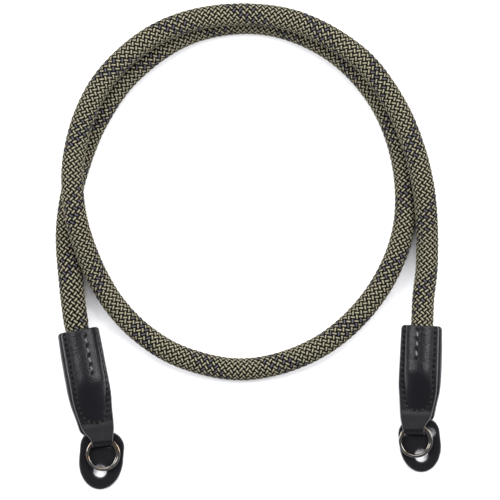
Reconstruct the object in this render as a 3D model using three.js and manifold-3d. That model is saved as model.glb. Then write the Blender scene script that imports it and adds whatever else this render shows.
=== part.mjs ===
// Rope camera strap, lying on a table: one braided rope wound once and three quarters round,
// a folded and stitched leather tab on each end of it, and a split ring and a leather guard on each tab.
// Millimetres, +Z up. X runs from the left tab to the right one, and Z = 0 is the table.
import * as THREE from "three";
import { mergeVertices } from "three/addons/utils/BufferGeometryUtils.js";
import Module from "manifold-3d";

const wasm = await Module();
wasm.setup();

// ---- Driving sizes ----
const GAP = 0.3;
const ROPE_RADIUS = 5;
const ROPE_SIDES = 12;
const ROPE_STEPS = 78;

const LEATHER = 1.5; // one layer of a tab
const LEATHER_AT_FOLD = 1.15; // thinned so that it bends
const SOCKET_RADIUS = ROPE_RADIUS + GAP + 0.05; // the facets of the hollow come 0.05 nearer
const SOCKET_SIDES = 24;
const ROPE_IN_TAB_HEIGHT = SOCKET_RADIUS + LEATHER;
const SEWN_LENGTH = 39.6; // of the shorter tab, from its mouth to the foot of the stitching
const LOOP_LENGTH = 11.4; // from there to the fold, the same on both tabs
const TAB_ROLL = 15; // degrees that the outer edge of a tab is turned up by the rope
const FOLD_DEPTH = 2.9; // how far back from the fold its rounding starts
const FOLD_ROUNDNESS = 2.6; // exponent of that rounding, 2 being an ellipse
const FOLD_SHIFT = -1.9; // the fold's centre, towards the inner edge
const CROWN_STEPS = 12;

const GUARD_THICKNESS = 1.6;
const GUARD_WIDEST = 5; // from the hole's centre to where the round end starts
const GUARD_HOLE_RADIUS = 3;
const GUARD_TILT = 5.3; // degrees: its upper bar lies on the tab's lower layer

const RING_OUTER_RADIUS = 7.9;
const RING_WIRE_WIDTH = 1.45;
const RING_COIL_HEIGHT = 1.1;
const RING_EDGE = 0.3; // the chamfer on each coil of wire
const RING_SEGMENTS = 48;

const OLIVE = { color: 0x6d684c, roughness: 0.9, metalness: 0 };
const BLACK_LEATHER = { color: 0x26262a, roughness: 0.5, metalness: 0 };
const RAW_LEATHER = { color: 0x17171a, roughness: 0.85, metalness: 0 };
const NICKEL = { color: 0x9a948c, roughness: 0.28, metalness: 1 };

// side: -1 for the left end of the strap and 1 for the right. x, y: where the rope enters the tab.
// turn: degrees about +Z. length: from the mouth to the fold. rope: how much of it is in the tab.
// wider: added to the inner half width. foldTurn: degrees from the tab's own cross line to the fold.
// guard: x, y and turn of its hole's centre, and from there its half width, its round end (foot), its
// top, and its slot's middle. ring: its centre, across and along the guard from the hole's centre.
const ENDS = [
  {
    name: "left",
    side: -1,
    x: -79.47,
    y: 35.4,
    turn: 10.5,
    length: 55.5,
    rope: 22,
    wider: 0.9,
    foldTurn: 4.5,
    guard: { x: -69.02, y: -29.36, turn: -5.2, halfWidth: 10.1, foot: 8.4, top: 18.4, corner: 7 },
    slot: { fromHole: 11.25, middle: 0.9, length: 13.2, width: 4.2 },
    ring: { across: 0.6, along: 8.1 },
  },
  {
    name: "right",
    side: 1,
    x: 79.03,
    y: 37.5,
    turn: -2.4,
    length: 51,
    rope: 20,
    wider: 0.45,
    foldTurn: 2,
    guard: { x: 78.73, y: -22.23, turn: 6.2, halfWidth: 9.5, foot: 7.6, top: 17, corner: 6.5 },
    slot: { fromHole: 9.95, middle: 0, length: 15, width: 4 },
    ring: { across: -2, along: 7.2 },
  },
];

// ---- The rope's route between its two tabs ----
// Round the middle of the coil: angle in degrees from +X, distance from the middle, height of its axis.
const COIL_MIDDLE = { x: -1.47, y: 99.3 };
const ROUTE = [
  [212.4, 94.6, 6.1],
  [203.5, 88.8, 5.15],
  [194, 85.4, 5.05],
  [184, 81.6, 5.0],
  [172, 78.2, 5.0],
  [155, 76.0, 5.0],
  [135, 76.0, 5.0],
  [110, 77.1, 5.0],
  [85, 77.2, 5.0],
  [60, 75.6, 5.0],
  [35, 73.7, 5.0],
  [10, 72.7, 5.0],
  [-15, 74.1, 5.0],
  [-40, 75.8, 5.0],
  [-65, 78.95, 5.0],
  [-90, 81.85, 5.02],
  [-112, 81.95, 5.05],
  [-127, 81.15, 5.2],
  [-139, 80.2, 5.7],
  [-150, 79.2, 7.7],
  [-160, 78.8, 11.1],
  [-170, 79.3, 14.8],
  [-180, 80.0, 15.6],
  [-190, 80.9, 14.9],
  [-205, 82.2, 13.3],
  [-220, 83.2, 12.5],
  [-240, 83.1, 13.1],
  [-260, 81.6, 14.6],
  [-285, 81.0, 14.4],
  [-310, 80.1, 14.0],
  [-330, 78.8, 13.8],
  [-346, 79.2, 13.1],
  [-358, 80.9, 11.6],
  [-367, 83.0, 9.2],
  [-376, 86.2, 6.0],
  [-384, 90.3, 5.3],
  [-391, 94.6, 6.3],
];

// ---- The tab's cross sections, from its mouth (at 0) to where the fold's rounding starts ----
// at: distance along the shorter tab. inner, outer: half widths of the upper layer. under: outer half
// width of the lower layer. crown: half width of the bulge. seam: height of the joint between the layers.
// top, belly: heights of the middle of the upper and lower faces. flat: 1 where the faces are flat across.
const SECTION_COLUMNS = ["at", "inner", "outer", "under", "crown", "seam", "top", "belly", "flat"];
const SECTIONS = [
  [0.0, 7.7, 7.2, 8.0, 6.7, 6.85, 13.5, 0.2, 0],
  [0.5, 8.7, 7.9, 8.9, 6.7, 6.85, 13.65, 0.05, 0],
  [1.8, 9.1, 8.3, 9.3, 6.7, 6.85, 13.65, 0.05, 0],
  [11.0, 9.2, 8.4, 9.7, 6.7, 6.85, 13.65, 0.05, 0],
  [20.5, 9.3, 8.5, 9.8, 6.7, 6.85, 13.65, 0.05, 0],
  [23.5, 9.4, 8.4, 9.7, 6.7, 6.5, 13.0, 0.2, 0],
  [27.0, 9.5, 8.2, 9.4, 6.6, 5.9, 11.0, 0.9, 0],
  [30.5, 9.3, 7.9, 9.0, 6.5, 5.2, 8.9, 1.6, 0],
  [33.4, 9.0, 7.5, 8.5, 6.2, 4.7, 7.4, 1.9, 0],
  [36.5, 8.7, 7.0, 8.0, 5.2, 4.1, 6.1, 2.1, 0],
  [39.6, 8.3, 6.4, 7.6, 2.9, 3.7, 5.2, 2.2, 1],
  [41.3, 8.1, 6.0, 7.35, 2.9, 3.4, 5.9, 0.95, 1],
  [42.7, 7.95, 5.4, 7.0, 2.9, 3.5, 6.6, 0.35, 1],
  [43.9, 7.8, 4.7, 6.1, 2.9, 3.7, 7.25, 0.1, 1],
  [45.0, 7.5, 3.9, 4.9, 2.7, 3.9, 7.8, 0.0, 1],
  [46.5, 7.2, 3.0, 3.9, 2.4, 4.05, 8.05, 0.0, 1],
  [48.0, 6.8, 2.6, 3.2, 2.3, 4.05, 8.1, 0.0, 1],
].map((row) => Object.fromEntries(row.map((value, i) => [SECTION_COLUMNS[i], value])));
const FOLD_ROUNDING = [0.35, 0.6, 0.8, 0.93, 0.99]; // shares of FOLD_DEPTH that take a section each
const FOLD_END = { inner: 4.9, outer: 3.1 }; // half widths at the end of the rounding

const radians = THREE.MathUtils.degToRad;
const smoothstep = THREE.MathUtils.smoothstep;

// ---- Solids ----

// A closed three.js geometry as a manifold-3d solid.
function solidOf(geometry) {
  const bare = geometry.index ? geometry.toNonIndexed() : geometry.clone();
  bare.deleteAttribute("normal");
  bare.deleteAttribute("uv");
  const merged = mergeVertices(bare, 1e-4);
  return new wasm.Manifold(
    new wasm.Mesh({
      numProp: 3,
      vertProperties: merged.attributes.position.array,
      triVerts: new Uint32Array(merged.index.array),
    }),
  );
}

function geometryOf(solid) {
  const mesh = solid.getMesh();
  const geometry = new THREE.BufferGeometry();
  geometry.setAttribute("position", new THREE.BufferAttribute(mesh.vertProperties, 3));
  geometry.setIndex(new THREE.BufferAttribute(mesh.triVerts, 1));
  const faceted = geometry.toNonIndexed();
  faceted.computeVertexNormals();
  return faceted;
}

// Closed rings of points, each as long as the others, skinned into one body with a fan on each end.
function loft(rings) {
  const count = rings[0].length;
  const positions = rings.flat().flatMap((p) => [p.x, p.y, p.z]);
  const index = [];
  for (let r = 0; r + 1 < rings.length; r += 1) {
    for (let i = 0; i < count; i += 1) {
      const a = r * count + i;
      const b = r * count + ((i + 1) % count);
      index.push(a, a + count, b, b, a + count, b + count);
    }
  }
  const fans = [
    [0, false],
    [rings.length - 1, true],
  ];
  for (const [r, last] of fans) {
    const middle = rings[r].reduce((sum, p) => sum.add(p), new THREE.Vector3()).divideScalar(count);
    const hub = positions.length / 3;
    positions.push(middle.x, middle.y, middle.z);
    for (let i = 0; i < count; i += 1) {
      const a = r * count + i;
      const b = r * count + ((i + 1) % count);
      index.push(...(last ? [a, hub, b] : [b, hub, a]));
    }
  }
  const geometry = new THREE.BufferGeometry();
  geometry.setAttribute("position", new THREE.Float32BufferAttribute(positions, 3));
  geometry.setIndex(index);
  return geometry;
}

// ---- The tab: a leather strip folded round the ring, sewn to itself over the rope's end ----
// u runs across the tab, positive to the outer edge, and s along it from the mouth.

// Where a table distance falls on a tab of this length: the sewn stretch takes up the difference.
function alongTab(at, length) {
  if (at <= SEWN_LENGTH) return (at * (length - LOOP_LENGTH)) / SEWN_LENGTH;
  return at - SEWN_LENGTH + length - LOOP_LENGTH;
}

// The inner half width of a section: one tab is cut wider than the other, less so towards its fold.
function innerHalfWidth(section, end) {
  return section.inner + end.wider * (1 - 0.6 * smoothstep(section.at, 24, 36)) * (1 - smoothstep(section.at, 41, 47));
}

// The sections of the fold's rounding, which follow on from the table's last one.
function foldSections() {
  const start = SECTIONS.at(-1);
  const middle = (start.top + start.belly) / 2;
  const half = (start.top - start.belly) / 2;
  return FOLD_ROUNDING.map((share) => {
    const left = (1 - share ** FOLD_ROUNDNESS) ** (1 / FOLD_ROUNDNESS);
    return {
      ...start,
      at: start.at + FOLD_DEPTH * share,
      inner: THREE.MathUtils.lerp(start.inner, FOLD_END.inner, share),
      outer: THREE.MathUtils.lerp(start.outer, FOLD_END.outer, share),
      under: THREE.MathUtils.lerp(start.under, FOLD_END.outer + 0.05, share),
      crown: 2.2,
      top: middle + half * left,
      belly: middle - half * left,
    };
  });
}

// A point of the tab, rolled about the rope's axis near the mouth and turned towards the guard at the fold.
function placeOnTab(u, s, z, end) {
  const { length } = end;
  const roll = radians(TAB_ROLL) * (1 - smoothstep(s / length, 0.45, 0.8));
  const lift = z - ROPE_IN_TAB_HEIGHT;
  const across = u * Math.cos(roll) - lift * Math.sin(roll);
  const height = ROPE_IN_TAB_HEIGHT + u * Math.sin(roll) + lift * Math.cos(roll);
  const loopStart = length - LOOP_LENGTH;
  const turn = Math.tan(radians(end.foldTurn)) * smoothstep(s, loopStart, loopStart + LOOP_LENGTH / 2);
  return new THREE.Vector3(across, -s + (u - FOLD_SHIFT) * turn, height);
}

// One face of a section, from the inner edge to the outer one.
function faceOf(section, inner, outer, crest) {
  const rise = crest - section.seam;
  const rim = Math.sign(rise) * LEATHER;
  const edge = section.seam + rim + section.flat * (rise - rim);
  const face = [[-inner, edge]];
  for (let i = 0; i <= CROWN_STEPS; i += 1) {
    const angle = (Math.PI * i) / CROWN_STEPS;
    face.push([-section.crown * Math.cos(angle), edge + (crest - edge) * Math.sin(angle)]);
  }
  face.push([outer, edge]);
  return face;
}

function tabGeometry(end) {
  const rings = [...SECTIONS, ...foldSections()].map((section) => {
    const inner = innerHalfWidth(section, end);
    const upper = faceOf(section, inner, section.outer, section.top);
    const lower = faceOf(section, inner, section.under, section.belly);
    const step = [
      [section.outer, section.seam],
      [section.under, section.seam],
    ];
    const s = alongTab(section.at, end.length);
    return [...upper, ...step, ...lower.reverse()].map(([u, z]) => placeOnTab(u, s, z, end));
  });
  const body = solidOf(loft(rings));
  return body.subtract(ropeSocket(end)).subtract(ringEye(end));
}

function ropeSocket(end) {
  const depth = end.rope + GAP;
  const socket = new THREE.CylinderGeometry(SOCKET_RADIUS, SOCKET_RADIUS, depth + 1, SOCKET_SIDES);
  socket.translate(0, (1 - depth) / 2, ROPE_IN_TAB_HEIGHT);
  return solidOf(socket);
}

// The space inside the loop: the side view of the loop, brought in by one thickness of leather.
function ringEye(end) {
  const loop = [...SECTIONS, ...foldSections()].filter((section) => section.at >= SEWN_LENGTH);
  const place = (section, z) => new THREE.Vector2(alongTab(section.at, end.length), z);
  const skived = ({ at }) => THREE.MathUtils.lerp(LEATHER, LEATHER_AT_FOLD, smoothstep(at, 42.5, 46.5));
  const roof = broughtIn(loop.map((section) => place(section, section.top)), -1, loop.map(skived));
  const floor = broughtIn(loop.map((section) => place(section, section.belly)), 1, loop.map(skived));
  const open = roof.map((p, i) => p.y - floor[i].y > GAP);
  const outline = [...floor.filter((p, i) => open[i]), ...roof.filter((p, i) => open[i]).reverse()];
  const reach = 2 * end.guard.halfWidth;
  const eye = new THREE.ExtrudeGeometry(new THREE.Shape(outline), { depth: reach, bevelEnabled: false });
  const position = eye.attributes.position;
  for (let i = 0; i < position.count; i += 1) {
    const point = placeOnTab(reach / 2 - position.getZ(i), position.getX(i), position.getY(i), end);
    position.setXYZ(i, point.x, point.y, point.z);
  }
  return solidOf(eye);
}

// A polyline moved to its right (side -1) or left (side 1) by the leather's thickness at each point.
function broughtIn(points, side, thicknesses) {
  return points.map((p, i) => {
    const before = points[Math.max(i - 1, 0)];
    const after = points[Math.min(i + 1, points.length - 1)];
    const run = after.clone().sub(before).normalize();
    return new THREE.Vector2(p.x - side * run.y * thicknesses[i], p.y + side * run.x * thicknesses[i]);
  });
}

// ---- The guard: a flat piece of leather that the tab's loop is threaded through ----
function guardGeometry({ guard, slot }) {
  const { halfWidth, foot, top, corner } = guard;
  const shape = new THREE.Shape();
  shape.moveTo(halfWidth, GUARD_WIDEST);
  shape.absarc(halfWidth - corner, top - corner, corner, 0, Math.PI / 2, false);
  shape.absarc(corner - halfWidth, top - corner, corner, Math.PI / 2, Math.PI, false);
  shape.absellipse(0, GUARD_WIDEST, halfWidth, GUARD_WIDEST + foot, Math.PI, 2 * Math.PI, false);
  const hole = new THREE.Path();
  hole.absarc(0, 0, GUARD_HOLE_RADIUS, 0, 2 * Math.PI, true);
  const opening = new THREE.Path();
  const slotEnd = (slot.length - slot.width) / 2;
  opening.absarc(slot.middle + slotEnd, slot.fromHole, slot.width / 2, Math.PI / 2, -Math.PI / 2, true);
  opening.absarc(slot.middle - slotEnd, slot.fromHole, slot.width / 2, -Math.PI / 2, -1.5 * Math.PI, true);
  shape.holes.push(hole, opening);
  return new THREE.ExtrudeGeometry(shape, {
    depth: GUARD_THICKNESS,
    bevelEnabled: false,
    curveSegments: 14,
  });
}

// ---- The split ring: two coils of flat wire, one on the other ----
function ringGeometry() {
  const outer = RING_OUTER_RADIUS;
  const inner = outer - RING_WIRE_WIDTH;
  const coil = RING_COIL_HEIGHT;
  const profile = [
    [inner, RING_EDGE - coil],
    [inner + RING_EDGE, -coil],
    [outer - RING_EDGE, -coil],
    [outer, RING_EDGE - coil],
    [outer, -RING_EDGE],
    [outer - RING_EDGE, 0],
    [outer, RING_EDGE],
    [outer, coil - RING_EDGE],
    [outer - RING_EDGE, coil],
    [inner + RING_EDGE, coil],
    [inner, coil - RING_EDGE],
    [inner, RING_EDGE],
    [inner + RING_EDGE, 0],
    [inner, -RING_EDGE],
    [inner, RING_EDGE - coil],
  ].map(([r, z]) => new THREE.Vector2(r, z));
  const ring = new THREE.LatheGeometry(profile, RING_SEGMENTS);
  ring.rotateX(Math.PI / 2); // the lathe turns about Y
  return ring;
}

// ---- The rope ----

// The rope's end in a tab: innermost point, halfway and the mouth.
function ropeInTab(end) {
  const turn = radians(end.turn);
  return [1, 0.5, 0].map((share) => {
    const s = share * end.rope;
    return new THREE.Vector3(end.x + s * Math.sin(turn), end.y - s * Math.cos(turn), ROPE_IN_TAB_HEIGHT);
  });
}

function ropeGeometry() {
  const free = ROUTE.map(([angle, radius, height]) => {
    const a = radians(angle);
    return new THREE.Vector3(
      COIL_MIDDLE.x + radius * Math.cos(a),
      COIL_MIDDLE.y + radius * Math.sin(a),
      height,
    );
  });
  const points = [...ropeInTab(ENDS[0]), ...free, ...ropeInTab(ENDS[1]).reverse()];
  const extrudePath = new THREE.CatmullRomCurve3(points, false, "centripetal");
  const section = new THREE.Shape();
  for (let i = 0; i < ROPE_SIDES; i += 1) {
    const a = (2 * Math.PI * i) / ROPE_SIDES;
    const p = [ROPE_RADIUS * Math.cos(a), ROPE_RADIUS * Math.sin(a)];
    if (i) section.lineTo(...p);
    else section.moveTo(...p);
  }
  return new THREE.ExtrudeGeometry(section, { steps: ROPE_STEPS, extrudePath, bevelEnabled: false });
}

// ---- Scene graph ----
function named(name, geometry, look) {
  const mesh = new THREE.Mesh(geometry, new THREE.MeshStandardMaterial(look));
  mesh.name = name;
  return mesh;
}

function addEnd(strap, end) {
  const tab = new THREE.Group();
  tab.position.set(end.x, end.y, 0);
  tab.rotation.z = radians(end.turn);
  const leather = named(`${end.name}_tab`, geometryOf(tabGeometry(end)), BLACK_LEATHER);
  leather.scale.x = end.side;
  tab.add(leather);

  strap.add(tab);

  const tilt = radians(GUARD_TILT);
  const fitting = new THREE.Group();
  fitting.position.set(end.guard.x, end.guard.y, end.guard.foot * Math.sin(tilt));
  fitting.rotation.z = radians(end.guard.turn);
  strap.add(fitting);
  const tilted = new THREE.Group();
  tilted.rotation.x = tilt;
  fitting.add(tilted);
  tilted.add(named(`${end.name}_guard`, guardGeometry(end), RAW_LEATHER));

  const ring = named(`${end.name}_split_ring`, ringGeometry(), NICKEL);
  ring.position.set(end.ring.across, end.ring.along, GUARD_THICKNESS + GAP + RING_COIL_HEIGHT);
  tilted.add(ring);
}

const strap = new THREE.Group();
strap.add(named("rope", ropeGeometry(), OLIVE));
for (const end of ENDS) addEnd(strap, end);

export default strap;
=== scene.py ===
"""Looks of the rope camera strap: braided rope, sewn leather tabs, lug guards and split rings.

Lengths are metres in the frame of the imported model, whose nodes the pieces stand for.
"""

import math
from bisect import bisect_right

import bmesh
import bpy
from mathutils import Matrix, Vector, noise
from mathutils.geometry import delaunay_2d_cdt


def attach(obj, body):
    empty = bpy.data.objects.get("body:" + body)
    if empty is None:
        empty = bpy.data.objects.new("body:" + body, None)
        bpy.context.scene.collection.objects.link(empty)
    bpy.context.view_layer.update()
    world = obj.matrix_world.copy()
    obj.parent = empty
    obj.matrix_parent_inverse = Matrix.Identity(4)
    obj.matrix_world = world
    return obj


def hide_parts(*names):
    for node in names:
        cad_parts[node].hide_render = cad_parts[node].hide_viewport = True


bl_info = {
    "name": "Rope camera strap",
    "version": (1, 0, 0),
    "blender": (4, 5, 0),
    "location": "View3D > Sidebar > Strap",
    "description": "Builds a braided rope camera strap with leather tabs, guards and split rings",
    "category": "Object",
}

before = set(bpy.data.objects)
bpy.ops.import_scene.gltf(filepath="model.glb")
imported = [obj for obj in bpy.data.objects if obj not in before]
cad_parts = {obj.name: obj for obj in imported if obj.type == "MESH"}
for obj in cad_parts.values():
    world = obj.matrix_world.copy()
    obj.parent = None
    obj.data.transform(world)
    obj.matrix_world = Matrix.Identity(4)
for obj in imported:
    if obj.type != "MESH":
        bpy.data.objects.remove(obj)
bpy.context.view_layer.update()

MM = 0.001

# ---- The rope's route and the two ends, in millimetres and degrees ----
COIL_MIDDLE = (-1.47, 99.3)
# Round the middle of the coil: angle from +X, distance from the middle, height of the rope's axis.
ROUTE = (
    (212.4, 94.6, 6.1), (203.5, 88.8, 5.15), (194, 85.4, 5.05), (184, 81.6, 5.0),
    (172, 78.2, 5.0), (155, 76.0, 5.0), (135, 76.0, 5.0), (110, 77.1, 5.0),
    (85, 77.2, 5.0), (60, 75.6, 5.0), (35, 73.7, 5.0), (10, 72.7, 5.0),
    (-15, 74.1, 5.0), (-40, 75.8, 5.0), (-65, 78.95, 5.0), (-90, 81.85, 5.02),
    (-112, 81.95, 5.05), (-127, 81.15, 5.2), (-139, 80.2, 5.7), (-150, 79.2, 7.7),
    (-160, 78.8, 11.1), (-170, 79.3, 14.8), (-180, 80.0, 15.6), (-190, 80.9, 14.9),
    (-205, 82.2, 13.3), (-220, 83.2, 12.5), (-240, 83.1, 13.1), (-260, 81.6, 14.6),
    (-285, 81.0, 14.4), (-310, 80.1, 14.0), (-330, 78.8, 13.8), (-346, 79.2, 13.1),
    (-358, 80.9, 11.6), (-367, 83.0, 9.2), (-376, 86.2, 6.0), (-384, 90.3, 5.3),
    (-391, 94.6, 6.3),
)  # fmt: skip
ROPE_IN_TAB_HEIGHT = 6.85

# side: -1 left, 1 right. x, y: where the rope enters the tab. turn: about +Z.
# length: mouth to fold. rope: how much of it is in the tab.
# wider: added to the inner half width. bulge: added to the inner half of the bulge over the rope.
# underlay: least outer half width of the lower layer. fold_turn: from the tab's cross line to the
# fold. sewn: how far the bottom of the stitching lies off the middle.
# tacks: the short row down the middle, as places along the tab, at tack across it.
# guard: its hole's place and turn, its sizes from there, and how rough its cut edge is.
# slot: its middle along and across the guard, its length and width, and how much narrower the tab
# has pulled its hidden end. ring: its centre across and along the guard. split: where the wire of
# the ring starts.
ENDS = (
    {"name": "left", "side": -1, "x": -79.47, "y": 35.4, "turn": 10.5, "length": 55.5,
     "rope": 22, "wider": 0.9, "bulge": 1.5, "underlay": 3.2, "fold_turn": 4.5, "sewn": -0.55,
     "tack": -1.6, "tacks": (5.5, 10, 14.5, 18.5),
     "guard": {"x": -69.02, "y": -29.36, "turn": -5.2, "half_width": 10.1, "foot": 8.4, "top": 18.4,
               "corner": 7, "fuzz": 0.16},
     "slot": {"from_hole": 12.8, "middle": -0.2, "length": 9.6, "width": 2.8, "taper": 0},
     "ring": (0.6, 8.1), "split": 60},
    {"name": "right", "side": 1, "x": 79.03, "y": 37.5, "turn": -2.4, "length": 51,
     "rope": 20, "wider": 0.45, "bulge": 0.2, "underlay": 5.0, "fold_turn": 2, "sewn": 0.0,
     "tack": -0.35, "tacks": (4, 8.4, 12.9),
     "guard": {"x": 78.73, "y": -22.23, "turn": 6.2, "half_width": 9.5, "foot": 7.6, "top": 17,
               "corner": 6.5, "fuzz": 0.07},
     "slot": {"from_hole": 10.15, "middle": 0, "length": 14.8, "width": 4.4, "taper": 1.9},
     "ring": (-2, 7.2), "split": 110},
)  # fmt: skip

# The tab: a leather strip folded round the ring and sewn to itself over the rope's end.
LEATHER = 1.5
LEATHER_AT_FOLD = 1.15
THINS_BETWEEN = (42.5, 46.5)  # along the shorter tab, like the next three
BULGE_ENDS_BETWEEN = (24, 36)
WIDTH_ENDS_BETWEEN = (41, 47)
SEAM_TURNS_IN_BETWEEN = (26, 37)
WIDER_LOST = 0.6  # how much of a tab's extra width ends with the bulge
SEWN_LENGTH = 39.6
LOOP_LENGTH = 11.4
TAB_ROLL = 15
ROLL_ENDS_BETWEEN = (0.45, 0.8)  # as shares of the tab's length
FOLD_DEPTH = 3.4
FOLD_ROUNDNESS = 1.7
FOLD_LEAN = 1.2  # how far the fold leans out over the guard
FOLD_CORNER = 1.4  # how late the fold narrows to its ends
FOLD_LEANS_BETWEEN = (0, 0.6)  # shares of the way down from its middle, like the next
FOLD_WIDENS_BETWEEN = (0.1, 0.5)  # to the lower layer
FOLD_SHIFT = -1.9  # middle of the fold, across
FOLD_END_INNER = 4.9  # half widths of the fold's front
FOLD_END_OUTER = 3.1
# How square the bulge over the rope is on its inner and outer side; 2 is an ellipse.
INNER_FULLNESS = 2.7
OUTER_FULLNESS = 1.75
# at: distance from the mouth along the shorter tab. inner, outer: half widths of the upper layer.
# under: outer half width of the lower one. crown: half width of the bulge.
# seam: height of the joint between the layers. top, belly: heights of the outer faces.
# flat: 1 where they are flat across.
TAB_COLUMNS = ("at", "inner", "outer", "under", "crown", "seam", "top", "belly", "flat")
TAB_SECTIONS = (
    (0, 9.05, 8.25, 9.25, 6.7, 6.85, 13.6, 0.07, 0),
    (3, 9.1, 8.3, 9.35, 6.7, 6.85, 13.65, 0.05, 0),
    (11, 9.2, 8.4, 9.7, 6.7, 6.85, 13.65, 0.05, 0),
    (20.5, 9.3, 8.5, 9.8, 6.7, 6.85, 13.65, 0.05, 0),
    (23.5, 9.4, 8.4, 9.7, 6.7, 6.5, 13.0, 0.2, 0),
    (27, 9.5, 8.2, 9.4, 6.6, 5.9, 11.0, 0.9, 0),
    (30.5, 9.3, 7.9, 9.0, 6.5, 5.2, 8.9, 1.6, 0),
    (33.4, 9.0, 7.5, 8.5, 6.2, 4.7, 7.4, 1.9, 0),
    (36.5, 8.7, 7.0, 8.0, 5.2, 4.1, 6.1, 2.1, 0),
    (39.6, 8.3, 6.4, 7.6, 2.9, 3.7, 5.2, 2.2, 1),
    (41.3, 8.1, 6.0, 7.35, 2.9, 3.4, 5.9, 0.95, 1),
    (42.7, 7.95, 5.4, 7.0, 2.9, 3.5, 6.6, 0.35, 1),
    (43.9, 7.8, 4.7, 6.1, 2.9, 3.7, 7.25, 0.1, 1),
    (45, 7.5, 3.9, 4.9, 2.7, 3.9, 7.8, 0, 1),
    (46.5, 7.2, 3.0, 3.9, 2.4, 4.05, 8.05, 0, 1),
    (47.5, 6.85, 2.75, 3.4, 2.3, 4.05, 8.1, 0, 1),
)
# Where the stitching runs, from the mouth on the inner side round to the mouth on the outer side:
# places across and along the shorter tab.
SEAM_ROUTE = (
    (-7.3, 1.9), (-7.4, 10), (-7.4, 20), (-7.3, 28), (-7.0, 32.7), (-6.3, 35.6), (-4.9, 37.8),
    (-2.6, 38.95), (-0.4, 39.2), (1.9, 38.6), (4.0, 37.2), (5.3, 35.2), (5.8, 32.7), (6.3, 28),
    (6.8, 20), (6.8, 10), (6.8, 1.9),
)  # fmt: skip

# The guard, with its hole in the middle of its own frame, and the split ring on it.
GUARD_THICKNESS = 1.6
GUARD_WIDEST = 5
GUARD_HOLE_RADIUS = 3
GUARD_TILT = 5.3
GAP = 0.3
RING_OUTER_RADIUS = 7.9
RING_WIRE_WIDTH = 1.45
RING_COIL_HEIGHT = 1.1
RING_CORNER = 0.48
RING_TURNS = 1.985
RING_SEGMENTS = 96  # in each turn


# ---- Sizes and colours that a user would change ----
def number_property(name, description, default, **more):
    """A number that a user may change."""
    return bpy.props.FloatProperty(name=name, description=description, default=default, **more)


def length_property(name, description, default):
    """A length in metres."""
    return number_property(name, description, default, unit="LENGTH", precision=5)


def colour_property(name, description, default):
    """A colour as a screen shows it."""
    more = {"subtype": "COLOR_GAMMA", "size": 3, "min": 0, "max": 1}
    return bpy.props.FloatVectorProperty(
        name=name, description=description, default=default, **more
    )


class StrapRopeSettings(bpy.types.PropertyGroup):
    """The braided rope."""

    diameter: length_property("Diameter", "Outer diameter of the rope", 0.0100)
    lead: length_property("Lead", "Length of rope in which a bundle goes round once", 0.0343)
    carriers: bpy.props.IntProperty(
        name="Carriers", description="Bundles of yarn that run each way", default=12, min=4, max=24
    )
    bundle_width: length_property("Bundle width", "Across the two yarns of a bundle", 0.00205)
    bundle_thickness: length_property("Bundle thickness", "Of a bundle, in and out", 0.00080)
    wave: length_property("Wave", "How far a bundle rises and dips as it crosses others", 0.00050)
    fullness: length_property("Fullness", "How far the yarn stands out past that", 0.00025)
    swell: length_property("Swell", "How much thicker the rope is at its left tab", 0.0006)
    khaki: colour_property("Khaki", "Colour of most of the yarn", (0.570, 0.550, 0.466))
    # Painted shade: the near-black colour that yarn takes where it dips under the crossing bundles.
    valley_shade: colour_property("Valley", "Colour of yarn where it dips under", (0.015, 0.012, 0.006))
    tracer: colour_property("Tracer", "Colour of the dark yarns", (0.335, 0.328, 0.355))
    # The core is a real part of the rope; its near-black colour is partly painted shade in the gaps
    # between bundles.
    core: colour_property("Core", "Colour of the core between the yarns", (0.015, 0.013, 0.008))


class StrapLeatherSettings(bpy.types.PropertyGroup):
    """The sewn tabs and the guards."""

    skin: colour_property("Skin", "Colour of the smooth side of the tabs", (0.054, 0.053, 0.074))
    flesh: colour_property("Flesh side", "Colour of the leather's rough side", (0.17, 0.16, 0.155))
    # The tabs' cut edges: light grey that is partly the edge paint's own colour and partly a
    # painted highlight along the edges.
    cut_edge_and_highlight: colour_property("Cut edge", "Colour of the painted edges", (0.34, 0.34, 0.36))
    guard: colour_property("Guard", "Colour of the guards", (0.055, 0.050, 0.066))
    # The guards' cut edges: light grey that is partly the raw edge's own colour and partly a
    # painted highlight along the edges.
    guard_edge_and_highlight: colour_property("Guard edge", "Colour of the guards' cut edges", (0.34, 0.33, 0.35))
    gloss: number_property("Roughness", "Of the tabs' smooth side", 0.32, min=0, max=1)
    pucker: length_property("Pucker", "How deep a stitch pulls the leather in", 0.00022)
    waviness: length_property("Waviness", "How far the leather's face wanders", 0.00007)


class StrapStitchSettings(bpy.types.PropertyGroup):
    """The saddle stitches."""

    pitch: length_property("Pitch", "From one stitch to the next", 0.00255)
    stitch_length: length_property("Stitch length", "Of the part that shows", 0.0014)
    thread: length_property("Thread", "Width of the thread", 0.00080)
    tack_length: length_property("Tack length", "Of a stitch of the middle row", 0.0023)
    tack_thread: length_property("Tack thread", "Width of a stitch of the middle row", 0.0009)
    slant: number_property(
        "Slant", "Angle between a stitch and its row", math.radians(24), subtype="ANGLE"
    )
    colour: colour_property("Thread colour", "Of the outline's stitches", (0.12, 0.12, 0.13))
    # Painted highlight: the middle row's black waxed thread is coloured light grey to show its
    # glints.
    tack_glint_colour: colour_property("Tack colour", "Of the middle row's stitches", (0.44, 0.44, 0.45))


class StrapRingSettings(bpy.types.PropertyGroup):
    """The split rings."""

    metal: colour_property("Metal", "Colour of the plating", (0.42, 0.41, 0.405))
    worn: colour_property("Worn metal", "Colour of rubbed places", (0.47, 0.42, 0.36))
    jog: number_property(
        "Jog", "Angle in which the wire changes coils", math.radians(34), subtype="ANGLE"
    )


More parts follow.
